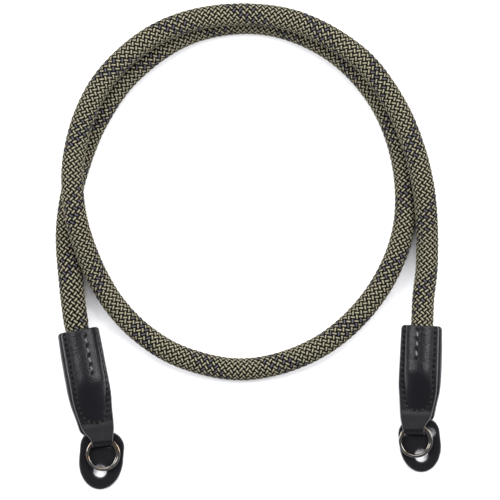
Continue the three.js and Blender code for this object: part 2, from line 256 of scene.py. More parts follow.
class StrapStageSettings(bpy.types.PropertyGroup):
    """The floor, the camera and the lights."""

    floor: colour_property("Floor", "Colour of the floor", (0.955, 0.955, 0.965))
    view_width: length_property("View width", "Width of what the camera sees on the floor", 0.230)
    camera_height: length_property("Camera height", "Of the camera above the floor", 6.0)
    sky: number_property("Sky", "Strength of the light from all round", 0.37)
    key: number_property("Key light", "Power of the light over the far side", 19.0)
    side: number_property("Side lights", "Power of each light at the sides", 15.0)
    view_centre: bpy.props.FloatVectorProperty(
        name="View centre",
        description="Point of the floor in the middle of the view",
        default=(-0.00007, 0.0722),
        size=2,
        unit="LENGTH",
    )


# ---- Small helpers for node trees ----
def plug(tree, socket, value):
    """Feeds a socket from another node's output, or sets its own value."""
    if isinstance(value, bpy.types.NodeSocket):
        tree.links.new(value, socket)
    else:
        socket.default_value = value


def add_node(tree, kind, feeds=None, **settings):
    """A new node with its settings and inputs, the inputs keyed by name or number."""
    made = tree.nodes.new(kind)
    for key, value in settings.items():
        setattr(made, key, value)
    for key, value in (feeds or {}).items():
        plug(tree, made.inputs[key], value)
    return made


def output_of(tree, kind, feeds=None, **settings):
    """The first output of a new node."""
    return add_node(tree, kind, feeds, **settings).outputs[0]


def calc(tree, operation, *values):
    """What a math node makes of the values."""
    return output_of(tree, "ShaderNodeMath", dict(enumerate(values)), operation=operation)


def vector_calc(tree, operation, *values):
    """The same for vectors."""
    return output_of(tree, "ShaderNodeVectorMath", dict(enumerate(values)), operation=operation)


def scaled(tree, vector, factor):
    """A vector times a number."""
    feeds = {"Vector": vector, "Scale": factor}
    return output_of(tree, "ShaderNodeVectorMath", feeds, operation="SCALE")


def combined(tree, **parts):
    """A vector from its X, Y and Z."""
    return output_of(tree, "ShaderNodeCombineXYZ", parts)


def ramp(tree, value, low, high, to_low=0.0, to_high=1.0):
    """A smooth step between two values."""
    feeds = {
        "Value": value,
        "From Min": low,
        "From Max": high,
        "To Min": to_low,
        "To Max": to_high,
    }
    return output_of(tree, "ShaderNodeMapRange", feeds, interpolation_type="SMOOTHSTEP")


def noise_at(tree, place, scale, detail=3.0, **more):
    """Noise at a place, so many lumps a metre, and apart for each W where that is given."""
    feeds = {"Vector": place, "Scale": scale, "Detail": detail, **more}
    dimensions = "4D" if "W" in more else "3D"
    return output_of(tree, "ShaderNodeTexNoise", feeds, noise_dimensions=dimensions)


def named(tree, label, **settings):
    """A named attribute of the geometry."""
    return output_of(tree, "GeometryNodeInputNamedAttribute", {"Name": label}, **settings)


def stored(tree, geometry, label, value, **settings):
    """The geometry with a value kept under a name."""
    feeds = {"Geometry": geometry, "Name": label, "Value": value}
    return output_of(tree, "GeometryNodeStoreNamedAttribute", feeds, **settings)


def placed(tree, geometry, position):
    """The geometry with its points moved."""
    feeds = {"Geometry": geometry, "Position": position}
    return output_of(tree, "GeometryNodeSetPosition", feeds)


def even_line(tree, count):
    """A straight curve of so many points, to be bent into shape."""
    line = output_of(tree, "GeometryNodeCurvePrimitiveLine")
    return output_of(tree, "GeometryNodeResampleCurve", {"Curve": line, "Count": count})


def new_geometry_tree(name, **sockets):
    """A geometry tree with inputs of each kind, given by their names, and a material."""
    tree = bpy.data.node_groups.new(name, "GeometryNodeTree")
    for kind, labels in {"Geometry": ["Geometry"], **sockets, "Material": ["Material"]}.items():
        for label in labels:
            tree.interface.new_socket(label, in_out="INPUT", socket_type=f"NodeSocket{kind}")
    tree.interface.new_socket("Geometry", in_out="OUTPUT", socket_type="NodeSocketGeometry")
    given = tree.nodes.new("NodeGroupInput").outputs
    result = tree.nodes.new("NodeGroupOutput").inputs
    return tree, given, result


def finish_tree(tree, geometry, given, result):
    """Ends a tree in Realize Instances and Set Material."""
    whole = output_of(tree, "GeometryNodeRealizeInstances", {"Geometry": geometry})
    feeds = {"Geometry": whole, "Material": given["Material"]}
    tree.links.new(output_of(tree, "GeometryNodeSetMaterial", feeds), result["Geometry"])


def finish_sweep(tree, curve, section, given, result):
    """Ends a tree in a section drawn along a curve."""
    feeds = {"Curve": curve, "Profile Curve": section, "Fill Caps": True}
    solid = output_of(tree, "GeometryNodeCurveToMesh", feeds)
    smooth = output_of(tree, "GeometryNodeSetShadeSmooth", {"Geometry": solid})
    finish_tree(tree, smooth, given, result)


def linked(name, data):
    """A new object in the scene."""
    made = bpy.data.objects.new(name, data)
    bpy.context.scene.collection.objects.link(made)
    return made


def grow(base, tree, inputs, name):
    """Runs a geometry tree on a base object and keeps the result as a plain mesh."""
    modifier = base.modifiers.new("Grow", "NODES")
    modifier.node_group = tree
    for socket in tree.interface.items_tree:
        if socket.in_out == "INPUT" and socket.name in inputs:
            modifier[socket.identifier] = inputs[socket.name]
    base.update_tag()
    bpy.context.view_layer.update()
    evaluated = base.evaluated_get(bpy.context.evaluated_depsgraph_get())
    mesh = bpy.data.meshes.new_from_object(evaluated)
    mesh.name = name
    piece = linked(name, mesh)
    bpy.data.objects.remove(base)
    return piece


def starts_object(name, points, marks):
    """An object of loose points with named values for them, each a number or a vector."""
    mesh = bpy.data.meshes.new(name)
    mesh.from_pydata([tuple(p) for p in points], [], [])
    for label, values in marks.items():
        if isinstance(values[0], Vector):
            kept = mesh.attributes.new(label, "FLOAT_VECTOR", "POINT")
            kept.data.foreach_set("vector", [c for v in values for c in v])
        else:
            mesh.attributes.new(label, "FLOAT", "POINT").data.foreach_set("value", values)
    return linked(name, mesh)


def closed_mesh(name, points, faces, marks):
    """A closed, smoothly shaded mesh with a number for each point under each name."""
    mesh = bpy.data.meshes.new(name)
    mesh.from_pydata([tuple(p) for p in points], [], faces)
    shape = bmesh.new()
    shape.from_mesh(mesh)
    bmesh.ops.recalc_face_normals(shape, faces=shape.faces)
    shape.to_mesh(mesh)
    shape.free()
    mesh.shade_smooth()
    for label, values in marks.items():
        mesh.attributes.new(label, "FLOAT", "POINT").data.foreach_set("value", values)
    return mesh


def linear(colour):
    """A screen colour as scene-linear values with alpha."""
    steps = [c / 12.92 if c <= 0.04045 else ((c + 0.055) / 1.055) ** 2.4 for c in colour]
    return (*steps, 1.0)


# ---- The rope's path ----
ROUTE_STEPS = 24  # from one place of the route to the next
SEAM_STEPS = 12


def cubic(p1, t1, p2, t2, t):
    """A place or value on the cubic between two, given the slopes at both."""
    first = p1 * (2 * t**3 - 3 * t**2 + 1) + t1 * (t**3 - 2 * t**2 + t)
    return first + p2 * (-2 * t**3 + 3 * t**2) + t2 * (t**3 - t**2)


def smooth_curve(points, steps):
    """A centripetal Catmull-Rom curve through the points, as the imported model's rope follows."""
    first = points[0] * 2 - points[1]
    last = points[-1] * 2 - points[-2]
    knots = [first, *points, last]
    curve = []
    for i in range(len(points) - 1):
        p0, p1, p2, p3 = knots[i : i + 4]
        d0, d1, d2 = ((b - a).length ** 0.5 for a, b in ((p0, p1), (p1, p2), (p2, p3)))
        t1 = ((p1 - p0) / d0 - (p2 - p0) / (d0 + d1) + (p2 - p1) / d1) * d1
        t2 = ((p2 - p1) / d1 - (p3 - p1) / (d1 + d2) + (p3 - p2) / d2) * d1
        curve += [cubic(p1, t1, p2, t2, k / steps) for k in range(steps)]
    curve.append(points[-1])
    return curve


def tab_axis(end):
    """Where the rope enters a tab, and the direction that it goes in."""
    turn = math.radians(end["turn"])
    mouth = Vector((end["x"], end["y"], ROPE_IN_TAB_HEIGHT))
    return mouth, Vector((math.sin(turn), -math.cos(turn), 0))


def rope_path():
    """The rope's centre line from its end in the left tab to its end in the right one."""
    middle_x, middle_y = COIL_MIDDLE
    free = []
    for angle, radius, height in ROUTE:
        x = middle_x + radius * math.cos(math.radians(angle))
        y = middle_y + radius * math.sin(math.radians(angle))
        free.append(Vector((x, y, height)))
    ends = []
    for end in ENDS:
        mouth, inwards = tab_axis(end)
        ends.append([mouth + inwards * (end["rope"] * share) for share in (1, 0.5, 0)])
    points = [*ends[0], *free, *reversed(ends[1])]
    return [p * MM for p in smooth_curve(points, ROUTE_STEPS)]


def path_object(points):
    """A helper curve through the points, which geometry trees read and which is removed later."""
    curve = bpy.data.curves.new("rope_path", "CURVE")
    curve.dimensions = "3D"
    curve.twist_mode = "MINIMUM"
    spline = curve.splines.new("POLY")
    spline.points.add(len(points) - 1)
    for knot, place in zip(spline.points, points):
        knot.co = (*place, 1.0)
    return linked("rope_path", curve)


# ---- The rope's geometry tree ----
# Outwards and across, as shares of half a bundle's thickness and width: two yarns side by side.
BUNDLE_SECTION = (
    (0.00, 1.00), (0.90, 0.55), (0.60, 0.00), (0.90, -0.55), (0.00, -1.00), (-0.70, 0.00),
)  # fmt: skip
POINTS_PER_CROSSING = 3
WANDER_LUMPS = 420.0  # how many times a metre a bundle wanders
WANDER_APART = 3.7  # how differently from the next bundle
WANDER_ANGLE = 0.07
SWELL_RISE = (0.9, 1.2)  # shares of the tab's share of the rope, over which the rope swells
SWELL_FALL = (1.0, 0.75)  # shares of where the swelling ends, over which it goes


def braid_tree():
    """Yarn bundles that go round a path one way, over and under those that go the other way."""
    sizes = ["Middle radius", "Wave", "Bundle width", "Bundle thickness", "Unevenness"]
    swelling = ["Swell", "Swell start", "Swell end"]
    tree, given, result = new_geometry_tree(
        "Braided sheath",
        Object=["Path"],
        Int=["Carriers", "Crossings", "Seed"],
        Float=["Direction", *sizes, *swelling, "Lowest"],
    )
    path = add_node(tree, "GeometryNodeObjectInfo", {"Object": given["Path"]}).outputs["Geometry"]
    count = calc(tree, "MULTIPLY_ADD", given["Crossings"], POINTS_PER_CROSSING, 1)
    feeds = {"Points": given["Geometry"], "Instance": even_line(tree, count)}
    copies = output_of(tree, "GeometryNodeInstanceOnPoints", feeds)
    strands = output_of(tree, "GeometryNodeRealizeInstances", {"Geometry": copies})
    carrier = named(tree, "carrier")
    factor = add_node(tree, "GeometryNodeSplineParameter").outputs["Factor"]
    sample = add_node(tree, "GeometryNodeSampleCurve", {"Curves": path, "Factor": factor}).outputs
    side = vector_calc(tree, "CROSS_PRODUCT", sample["Tangent"], sample["Normal"])

    # One crossing is half a wave, and twice as many crossings as carriers make one turn.
    crossings = calc(tree, "MULTIPLY", factor, given["Crossings"])
    phase = calc(tree, "MULTIPLY", crossings, math.pi)
    signed = calc(tree, "MULTIPLY", crossings, given["Direction"])
    turns = calc(tree, "DIVIDE", signed, calc(tree, "MULTIPLY", given["Carriers"], 2.0))
    start = calc(tree, "DIVIDE", carrier, given["Carriers"])
    apart = calc(tree, "MULTIPLY_ADD", carrier, WANDER_APART, given["Seed"])
    lumps = scaled(tree, sample["Position"], WANDER_LUMPS)
    uneven = calc(tree, "SUBTRACT", noise_at(tree, lumps, 1.0, 1.0, W=apart), 0.5)
    angle = calc(tree, "MULTIPLY", calc(tree, "ADD", turns, start), 2 * math.pi)
    angle = calc(tree, "MULTIPLY_ADD", uneven, WANDER_ANGLE, angle)
    rise = calc(tree, "MULTIPLY", calc(tree, "COSINE", phase), given["Direction"])
    radius = calc(tree, "MULTIPLY_ADD", rise, given["Wave"], given["Middle radius"])
    radius = calc(tree, "MULTIPLY_ADD", uneven, given["Unevenness"], radius)
    swollen = [
        ramp(tree, factor, *(calc(tree, "MULTIPLY", given[label], share) for share in shares))
        for label, shares in (("Swell start", SWELL_RISE), ("Swell end", SWELL_FALL))
    ]
    swollen = calc(tree, "MULTIPLY", *swollen)
    radius = calc(tree, "MULTIPLY_ADD", swollen, given["Swell"], radius)
    up = scaled(tree, sample["Normal"], calc(tree, "COSINE", angle))
    outwards = vector_calc(tree, "ADD", up, scaled(tree, side, calc(tree, "SINE", angle)))
    place = vector_calc(tree, "ADD", sample["Position"], scaled(tree, outwards, radius))
    axes = add_node(tree, "ShaderNodeSeparateXYZ", {"Vector": place}).outputs
    flattened = calc(tree, "MAXIMUM", axes["Z"], given["Lowest"])
    place = combined(tree, X=axes["X"], Y=axes["Y"], Z=flattened)
    kept = stored(tree, strands, "rise", rise)
    kept = stored(tree, kept, "outwards", outwards, data_type="FLOAT_VECTOR")
    kept = stored(tree, kept, "along", crossings)
    facing = named(tree, "outwards", data_type="FLOAT_VECTOR")
    feeds = {"Curve": placed(tree, kept, place), "Normal": facing}
    faced = output_of(tree, "GeometryNodeSetCurveNormal", feeds, mode="FREE")

    loop = output_of(tree, "GeometryNodeCurvePrimitiveCircle", {"Resolution": len(BUNDLE_SECTION)})
    index = output_of(tree, "GeometryNodeInputIndex")
    corner = add_node(tree, "GeometryNodeIndexSwitch", {"Index": index}, data_type="VECTOR")
    for _ in range(len(BUNDLE_SECTION) - 2):
        corner.index_switch_items.new()
    for socket, (out, across) in zip(corner.inputs[1:], BUNDLE_SECTION):
        socket.default_value = (out, across, 0)
    corner = corner.outputs[0]
    half_thickness = calc(tree, "MULTIPLY", given["Bundle thickness"], 0.5)
    half_width = calc(tree, "MULTIPLY", given["Bundle width"], 0.5)
    stretch = combined(tree, X=half_thickness, Y=half_width)
    section = placed(tree, loop, vector_calc(tree, "MULTIPLY", corner, stretch))
    across = add_node(tree, "ShaderNodeSeparateXYZ", {"Vector": corner}).outputs["Y"]
    finish_sweep(tree, faced, stored(tree, section, "across", across), given, result)
    return tree


# ---- The tab's shape ----
def smoothstep(x, low, high):
    """From 0 at low to 1 at high, with level ends."""
    t = min(max((x - low) / (high - low), 0.0), 1.0)
    return t * t * (3 - 2 * t)


def steady_curve(xs, ys):
    """A smooth curve through a table's values that doesn't overshoot them."""
    steps = [b - a for a, b in zip(xs, xs[1:])]
    slopes = [(b - a) / h for a, b, h in zip(ys, ys[1:], steps)]
    tangents = [slopes[0]]
    for before, after, h0, h1 in zip(slopes, slopes[1:], steps, steps[1:]):
        if before * after <= 0:
            tangents.append(0.0)
        else:
            w0, w1 = 2 * h1 + h0, h1 + 2 * h0
            tangents.append((w0 + w1) / (w0 / before + w1 / after))
    tangents.append(slopes[-1])

    def value(x):
        i = min(max(bisect_right(xs, x) - 1, 0), len(steps) - 1)
        h = steps[i]
        starts, ends = tangents[i] * h, tangents[i + 1] * h
        return cubic(ys[i], starts, ys[i + 1], ends, (x - xs[i]) / h)

    return value


BEND_REACH = 1.5
BEND_SAMPLES = 3  # on each side


def softened(curve, first, last):
    """The same curve with its bends spread out, as leather takes them."""
    samples = range(-BEND_SAMPLES, BEND_SAMPLES + 1)

    def value(x):
        near = [min(max(x + BEND_REACH * k / BEND_SAMPLES, first), last) for k in samples]
        return sum(curve(place) for place in near) / len(near)

    return value


TAB_PLACES = [row[0] for row in TAB_SECTIONS]
TAB_TABLE = {
    name: softened(
        steady_curve(TAB_PLACES, [row[i] for row in TAB_SECTIONS]), TAB_PLACES[0], TAB_PLACES[-1]
    )
    for i, name in enumerate(TAB_COLUMNS)
}


def along_tab(at, length):
    """Where a table distance falls on a tab: the sewn stretch takes up the difference in length."""
    if at <= SEWN_LENGTH:
        return at * (length - LOOP_LENGTH) / SEWN_LENGTH
    return at - SEWN_LENGTH + length - LOOP_LENGTH


def section_at(s, end):
    """The table's values at a distance along a tab, as far as the start of the fold's rounding."""
    sewn = end["length"] - LOOP_LENGTH
    at = s * SEWN_LENGTH / sewn if s <= sewn else s - sewn + SEWN_LENGTH
    row = {name: curve(at) for name, curve in TAB_TABLE.items()}
    row["at"] = at
    past_bulge = smoothstep(at, *BULGE_ENDS_BETWEEN)
    row["bulge"] = row["crown"] + end["bulge"] * (1 - past_bulge)
    row["under"] = max(row["under"], end["underlay"])
    wider = end["wider"] * (1 - WIDER_LOST * past_bulge)
    row["inner"] += wider * (1 - smoothstep(at, *WIDTH_ENDS_BETWEEN))
    return row


def place_on_tab(point, end):
    """A point across, along and above the tab, in the frame.

    The tab is rolled near its mouth and turned square to the guard at its fold.
    """
    u, s, z = point
    length = end["length"]
    roll = math.radians(TAB_ROLL) * (1 - smoothstep(s / length, *ROLL_ENDS_BETWEEN))
    lift = z - ROPE_IN_TAB_HEIGHT
    across = u * math.cos(roll) - lift * math.sin(roll)
    height = ROPE_IN_TAB_HEIGHT + u * math.sin(roll) + lift * math.cos(roll)
    loop_start = length - LOOP_LENGTH
    share = smoothstep(s, loop_start, loop_start + LOOP_LENGTH / 2)
    square = math.tan(math.radians(end["fold_turn"])) * share
    local = Vector((end["side"] * across, -s + (u - FOLD_SHIFT) * square, height))
    mouth = Matrix.Translation((end["x"], end["y"], 0))
    return mouth @ Matrix.Rotation(math.radians(end["turn"]), 4, "Z") @ local * MM


def even_steps(points, count):
    """The same line as so many points, evenly spaced."""
    gone = [0.0]
    for a, b in zip(points, points[1:]):
        gone.append(gone[-1] + (b - a).length)
    even = []
    for k in range(count):
        want = gone[-1] * k / (count - 1)
        i = min(max(bisect_right(gone, want) - 1, 0), len(points) - 2)
        span = gone[i + 1] - gone[i]
        even.append(points[i].lerp(points[i + 1], (want - gone[i]) / span if span else 0.0))
    return even


TAB_COLUMN_COUNT = 45  # points across a face
TAB_STEP = 0.55  # between stations along the tab
CROWN_STEPS = 40
FINE_STEPS = 100  # across a face while it is softened
SOFTENING = 14  # passes that round the bulge into the flat edges
SLOPE_STEP = 0.25  # over which a layer's slope is taken
MOUTH_RIM = 0.3  # nearer the mouth than this, only ahead
MOUTH_CORNER = 1.7  # radius in plan
MOUTH_STATIONS = (0, 0.05, 0.16, 0.34, 0.6, 0.95, 1.35, 1.7)
EDGE_RADIUS = 0.48
EDGE_SHARE = 0.4  # of the thickness, and no more
EDGE_CORNER = 0.29  # of the radius, where a rounded edge is half way round
EDGE_POINTS = 5  # on an edge, past the faces' own
EDGE_DIP = 0.07  # how hollow a painted edge is
LAYER_GAP = 0.02  # half the gap between the sewn layers
HOLE_REACH = 0.43  # across a needle's slit, how far its painted shade reaches
SLIT_STRETCH = 1.6  # and how many times further along it
SLIT_SLANT = math.radians(-32)  # from the row of stitches
PUCKER_REACH = 0.62  # and how far it is pulled in
DENT_RANGE = 2.5  # no stitch is felt farther off
SINK = 0.08  # how deep a stitch lies in the leather
WAVE_ACROSS, WAVE_ALONG = 0.17, 0.07  # how often the leather's face wanders
WAVE_APART = 31  # how differently on the two tabs
DULL_SHADE_FROM = (0.76, 0.83)  # shares of the length over which the leather gets duller and takes painted shade
DULL_SHADE_TO = (0.93, 0.97)  # and shiny and unshaded again
FOLD_STATIONS = 22


def layer_face(row, layer):
    """The outer face of the upper (1) or lower (-1) layer across the tab: places across and up."""
    crest, outer = (row["top"], row["outer"]) if layer > 0 else (row["belly"], row["under"])
    rise = crest - row["seam"]
    edge = row["seam"] + layer * LEATHER + row["flat"] * (rise - layer * LEATHER)
    face = [Vector((-row["inner"], edge))]
    for i in range(CROWN_STEPS + 1):
        angle = math.pi * i / CROWN_STEPS
        inward = layer > 0 and angle < math.pi / 2
        half = row["bulge"] if inward else row["crown"]
        power = 2 / (INNER_FULLNESS if inward else OUTER_FULLNESS if layer > 0 else 2)
        reach = math.copysign(abs(math.cos(angle)) ** power, math.cos(angle))
        face.append(Vector((-half * reach, edge + (crest - edge) * math.sin(angle) ** power)))
    face.append(Vector((outer, edge)))
    face = even_steps(face, FINE_STEPS)
    for _ in range(SOFTENING):
        middle = [(a + b * 2 + c) / 4 for a, b, c in zip(face, face[1:], face[2:])]
        face = [face[0], *middle, face[-1]]
    return even_steps(face, TAB_COLUMN_COUNT)


def corner_loss(distance, radius):
    """How much a round corner takes off at a distance from the end."""
    if distance >= radius:
        return 0.0
    return radius - math.sqrt(radius**2 - (radius - distance) ** 2)


def layer_station(s, layer, end):
    """A layer's outer and inner faces at a distance along the tab: points across, along and up."""
    row = section_at(s, end)
    thickness = LEATHER + (LEATHER_AT_FOLD - LEATHER) * smoothstep(row["at"], *THINS_BETWEEN)
    for side in ("inner", "outer", "under"):
        row[side] -= corner_loss(s, MOUTH_CORNER)
    face = layer_face(row, layer)
    level = "top" if layer > 0 else "belly"
    back = SLOPE_STEP if s > MOUTH_RIM else 0.0
    ahead, behind = (section_at(place, end)[level] for place in (s + SLOPE_STEP, s - back))
    slope = (ahead - behind) / (SLOPE_STEP + back)
    run = Vector((1, slope)).normalized()
    thinned = corner_loss(s, EDGE_RADIUS)
    outer, inner = [], []
    for k, place in enumerate(face):
        across = (face[min(k + 1, len(face) - 1)] - face[max(k - 1, 0)]).normalized()
        inwards = Vector((across.y, -across.x)) * layer
        deep = place + inwards * thickness
        seam = row["seam"] + layer * LAYER_GAP
        deep.y = max(deep.y, seam) if layer > 0 else min(deep.y, seam)
        sewn = Vector((deep.x, s, deep.y))
        in_s, in_z = layer * run.y * thickness, layer * run.x * thickness
        loop = Vector((place.x, s + in_s, place.y - in_z))
        top = Vector((place.x, s, place.y))
        bottom = sewn.lerp(loop, row["flat"])
        through = (bottom - top).normalized()
        outer.append(top + through * thinned)
        inner.append(bottom - through * thinned)
    return outer, inner


def fold_station(share, end):
    """The same round the fold, from the upper layer (0) to the lower one (1)."""
    start = along_tab(TAB_SECTIONS[-1][0], end["length"])
    row = section_at(start, end)
    angle = math.pi * (0.5 - share)
    reach = abs(math.cos(angle)) ** (2 / FOLD_ROUNDNESS)
    lift = math.copysign(abs(math.sin(angle)) ** (2 / FOLD_ROUNDNESS), math.sin(angle))
    middle = (row["top"] + row["belly"]) / 2
    half = (row["top"] - row["belly"]) / 2
    corner = reach**FOLD_CORNER
    depth = FOLD_DEPTH - FOLD_LEAN * smoothstep(-lift, *FOLD_LEANS_BETWEEN)
    edge = row["outer"]
    left = -(row["inner"] + (FOLD_END_INNER - row["inner"]) * corner)
    right = edge + (FOLD_END_OUTER - edge) * corner
    right += (row["under"] - right) * smoothstep(-lift, *FOLD_WIDENS_BETWEEN)
    outer, inner = [], []
    for k in range(TAB_COLUMN_COUNT):
        u = left + (right - left) * k / (TAB_COLUMN_COUNT - 1)
        for face, inset in ((outer, 0), (inner, LEATHER_AT_FOLD)):
            along, up = start + (depth - inset) * reach, middle + (half - inset) * lift
            face.append(Vector((u, along, up)))
    return outer, inner


def strip_stations(end):
    """Outer and inner faces from the mouth over the upper layer, round the fold and back under."""
    end_of_flat = along_tab(TAB_SECTIONS[-1][0], end["length"])
    plain = round((end_of_flat - MOUTH_STATIONS[-1]) / TAB_STEP)
    places = [*MOUTH_STATIONS]
    for k in range(1, plain):
        places.append(MOUTH_STATIONS[-1] + (end_of_flat - MOUTH_STATIONS[-1]) * k / plain)
    upper = [layer_station(s, 1, end) for s in places]
    fold = [fold_station(k / FOLD_STATIONS, end) for k in range(FOLD_STATIONS + 1)]
    lower = [layer_station(s, -1, end) for s in reversed(places)]
    return upper, fold, lower


def seam_points(end, pitch):
    """Places across and along a tab of the stitches of its outline."""
    route = []
    for u, at in SEAM_ROUTE:
        turned_in = smoothstep(at, *SEAM_TURNS_IN_BETWEEN)
        u += end["sewn"] * turned_in
        if u < 0:
            u -= end["wider"] * (1 - turned_in)
        route.append(Vector((u, along_tab(at, end["length"]), 0)))
    line = smooth_curve(route, SEAM_STEPS)
    total = sum((b - a).length for a, b in zip(line, line[1:]))
    return even_steps(line, round(total / pitch) + 1)


def tack_points(end):
    """The same for the short row down the middle."""
    return [Vector((end["tack"], s, 0)) for s in end["tacks"]]


def needle_holes(places):
    """The slits where the thread goes in: place and direction, between stitches and at the ends."""
    first = places[0] + (places[0] - places[1]) / 2
    last = places[-1] + (places[-1] - places[-2]) / 2
    middles = [first, *((a + b) / 2 for a, b in zip(places, places[1:])), last]
    runs = [places[1] - places[0], *(b - a for a, b in zip(places, places[1:]))]
    runs.append(places[-1] - places[-2])
    slant = Matrix.Rotation(SLIT_SLANT, 3, "Z")
    return [(middle, slant @ run.normalized()) for middle, run in zip(middles, runs)]


class TabFace:
    """The upper layer's outer face, to look up the height at a place across and along the tab."""

    def __init__(self, stations):
        self.rows = [outer for outer, _ in stations]
        self.along = [row[0].y for row in self.rows]

    def point(self, u, s):
        """The point of the face there."""
        i = min(max(bisect_right(self.along, s) - 1, 0), len(self.rows) - 2)
        share = (s - self.along[i]) / (self.along[i + 1] - self.along[i])
        ends = []
        for row in self.rows[i : i + 2]:
            k = min(max(bisect_right([p.x for p in row], u) - 1, 0), len(row) - 2)
            ends.append(row[k].lerp(row[k + 1], (u - row[k].x) / (row[k + 1].x - row[k].x)))
        return ends[0].lerp(ends[1], share)


def closed_ring(outer, inner):
    """A strip's faces at a station joined by two painted edges with round corners."""
    ring = [outer[0] + (outer[1] - outer[0]).normalized() * EDGE_RADIUS, *outer[1:-1]]
    for side, other in ((outer[::-1], inner[::-1]), (inner, outer)):
        inwards = (side[1] - side[0]).normalized() * EDGE_RADIUS
        across = other[0] - side[0]
        through = across.normalized() * min(EDGE_RADIUS, across.length * EDGE_SHARE)
        ring.append(side[0] + inwards)
        ring.append(side[0] + (inwards + through) * EDGE_CORNER)
        ring.append(side[0] + through)
        ring.append(side[0].lerp(other[0], 0.5) - inwards.normalized() * EDGE_DIP)
        ring.append(other[0] - through)
        ring.append(other[0] + (inwards - through) * EDGE_CORNER)
        ring.append(other[0] + inwards)
        if side is not inner:
            ring.extend(inner[-2:0:-1])
    return ring[:-1]


def pressed_at(place, holes):
    """How much painted shade the needle slits put on a place, and how far the stitches pull it in.
    """
    dark, pulled = 0.0, 0.0
    for hole, slit in holes:
        if abs(place.y - hole.y) < DENT_RANGE and abs(place.x - hole.x) < DENT_RANGE:
            near = (place - hole).length_squared
            lengthwise = (place - hole).dot(slit) ** 2
            spread = near - lengthwise + lengthwise / SLIT_STRETCH**2
            dark = max(dark, math.exp(-spread / (2 * HOLE_REACH**2)))
            pulled += math.exp(-near / (2 * PUCKER_REACH**2))
    return dark, pulled


def tab_mesh(name, end, settings, pierced):
    """One folded strip, with the stitches' pull and the needle slits' painted shade, as a closed
    mesh in the frame.
    """
    upper, fold, lower = strip_stations(end)
    face = TabFace(upper)
    holes = [(face.point(p.x, p.y), slit) for p, slit in pierced]
    pucker = settings.pucker / MM
    wander = settings.waviness / MM
    columns = TAB_COLUMN_COUNT
    rings, marks = [], {"skin": [], "cut": [], "pierced": [], "rubbed": []}
    for i, (outer, inner) in enumerate(upper + fold + lower):
        moved, slit_shades, fold_dull_shade = [], [], []
        for place, below in zip(outer, inner):
            own = WAVE_APART * end["side"]
            ripple = Vector((place.x * WAVE_ACROSS, place.y * WAVE_ALONG, own))
            drift = noise.noise(ripple) * 2 * wander
            dark, pulled, share = 0.0, 0.0, 0.0
            if i < len(upper):
                dark, pulled = pressed_at(place, holes)
                share = place.y / end["length"]
            # Painted shade of the needle slits.
            slit_shades.append(dark)
            # Painted shade: the flat leather before the fold is darkened, and made rougher.
            fold_dull_shade.append(smoothstep(share, *DULL_SHADE_FROM) * (1 - smoothstep(share, *DULL_SHADE_TO)))
            moved.append(place + (below - place).normalized() * (drift + pucker * pulled))
        rings.append(closed_ring(moved, inner))
        face_side, edge, flesh_side = [1.0] * columns, [1.0] * EDGE_POINTS, [0.0] * columns
        marks["skin"] += face_side + edge + flesh_side + edge
        marks["cut"] += flesh_side + edge + flesh_side + edge
        marks["pierced"] += slit_shades + [0.0] * (columns + 2 * EDGE_POINTS)
        marks["rubbed"] += fold_dull_shade + [0.0] * (columns + 2 * EDGE_POINTS)
    count = len(rings[0])
    points = [place_on_tab(p, end) for ring in rings for p in ring]
    faces = []
    for r in range(len(rings) - 1):
        for k in range(count):
            n = (k + 1) % count
            faces.append((r * count + k, r * count + n, (r + 1) * count + n, (r + 1) * count + k))
    flesh_end = 2 * columns + EDGE_POINTS - 1
    for base in (0, (len(rings) - 1) * count):
        faces.append(tuple(base + k for k in range(columns - 1, columns + EDGE_POINTS + 1)))
        faces.append(tuple(base + k % count for k in range(flesh_end, count + 1)))
        for k in range(columns - 1):
            opposite = flesh_end - k
            faces.append((base + k, base + k + 1, base + opposite - 1, base + opposite))
    return closed_mesh(name, points, faces, marks), face


# ---- Stitches ----
BEAD_SEGMENTS, BEAD_RINGS = 10, 6  # of the ball that a stitch is stretched from
THREAD_HEIGHT = 0.85  # of a stitch, as a share of the thread's width
FACE_STEP = 0.35  # over which the slope of a tab's face is taken


def stitch_tree():
    """A thread's visible stitch on each point, along its row and slanted."""
    sizes = ["Stitch length", "Thread", "Slant", "Unevenness"]
    tree, given, result = new_geometry_tree("Saddle stitches", Float=sizes, Int=["Seed"])
    feeds = {"Segments": BEAD_SEGMENTS, "Rings": BEAD_RINGS, "Radius": 0.5}
    bead = output_of(tree, "GeometryNodeMeshUVSphere", feeds)
    height = calc(tree, "MULTIPLY", given["Thread"], THREAD_HEIGHT)
    size = combined(tree, X=given["Stitch length"], Y=given["Thread"], Z=height)
    shaped = output_of(tree, "GeometryNodeTransform", {"Geometry": bead, "Scale": size})
    smooth = output_of(tree, "GeometryNodeSetShadeSmooth", {"Geometry": shaped})
    facing, run = (named(tree, label, data_type="FLOAT_VECTOR") for label in ("facing", "run"))
    turned = output_of(
        tree,
        "FunctionNodeAxesToRotation",
        {"Primary Axis": facing, "Secondary Axis": run},
        primary_axis="Z",
        secondary_axis="X",
    )
    feeds = {"Min": (-1, -1, -1), "Max": (1, 1, 1), "Seed": given["Seed"]}
    slip = output_of(tree, "FunctionNodeRandomValue", feeds, data_type="FLOAT_VECTOR")
    slip = scaled(tree, slip, given["Unevenness"])
    slant = combined(tree, Z=calc(tree, "MULTIPLY", given["Slant"], named(tree, "hand")))
    feeds = {"Rotation": turned, "Rotate By": vector_calc(tree, "ADD", slant, slip)}
    turned = output_of(tree, "FunctionNodeRotateRotation", feeds, rotation_space="LOCAL")
    feeds = {
        "Points": given["Geometry"],
        "Instance": smooth,
        "Rotation": turned,
        "Scale": vector_calc(tree, "ADD", slip, (1, 1, 1)),
    }
    finish_tree(tree, output_of(tree, "GeometryNodeInstanceOnPoints", feeds), given, result)
    return tree


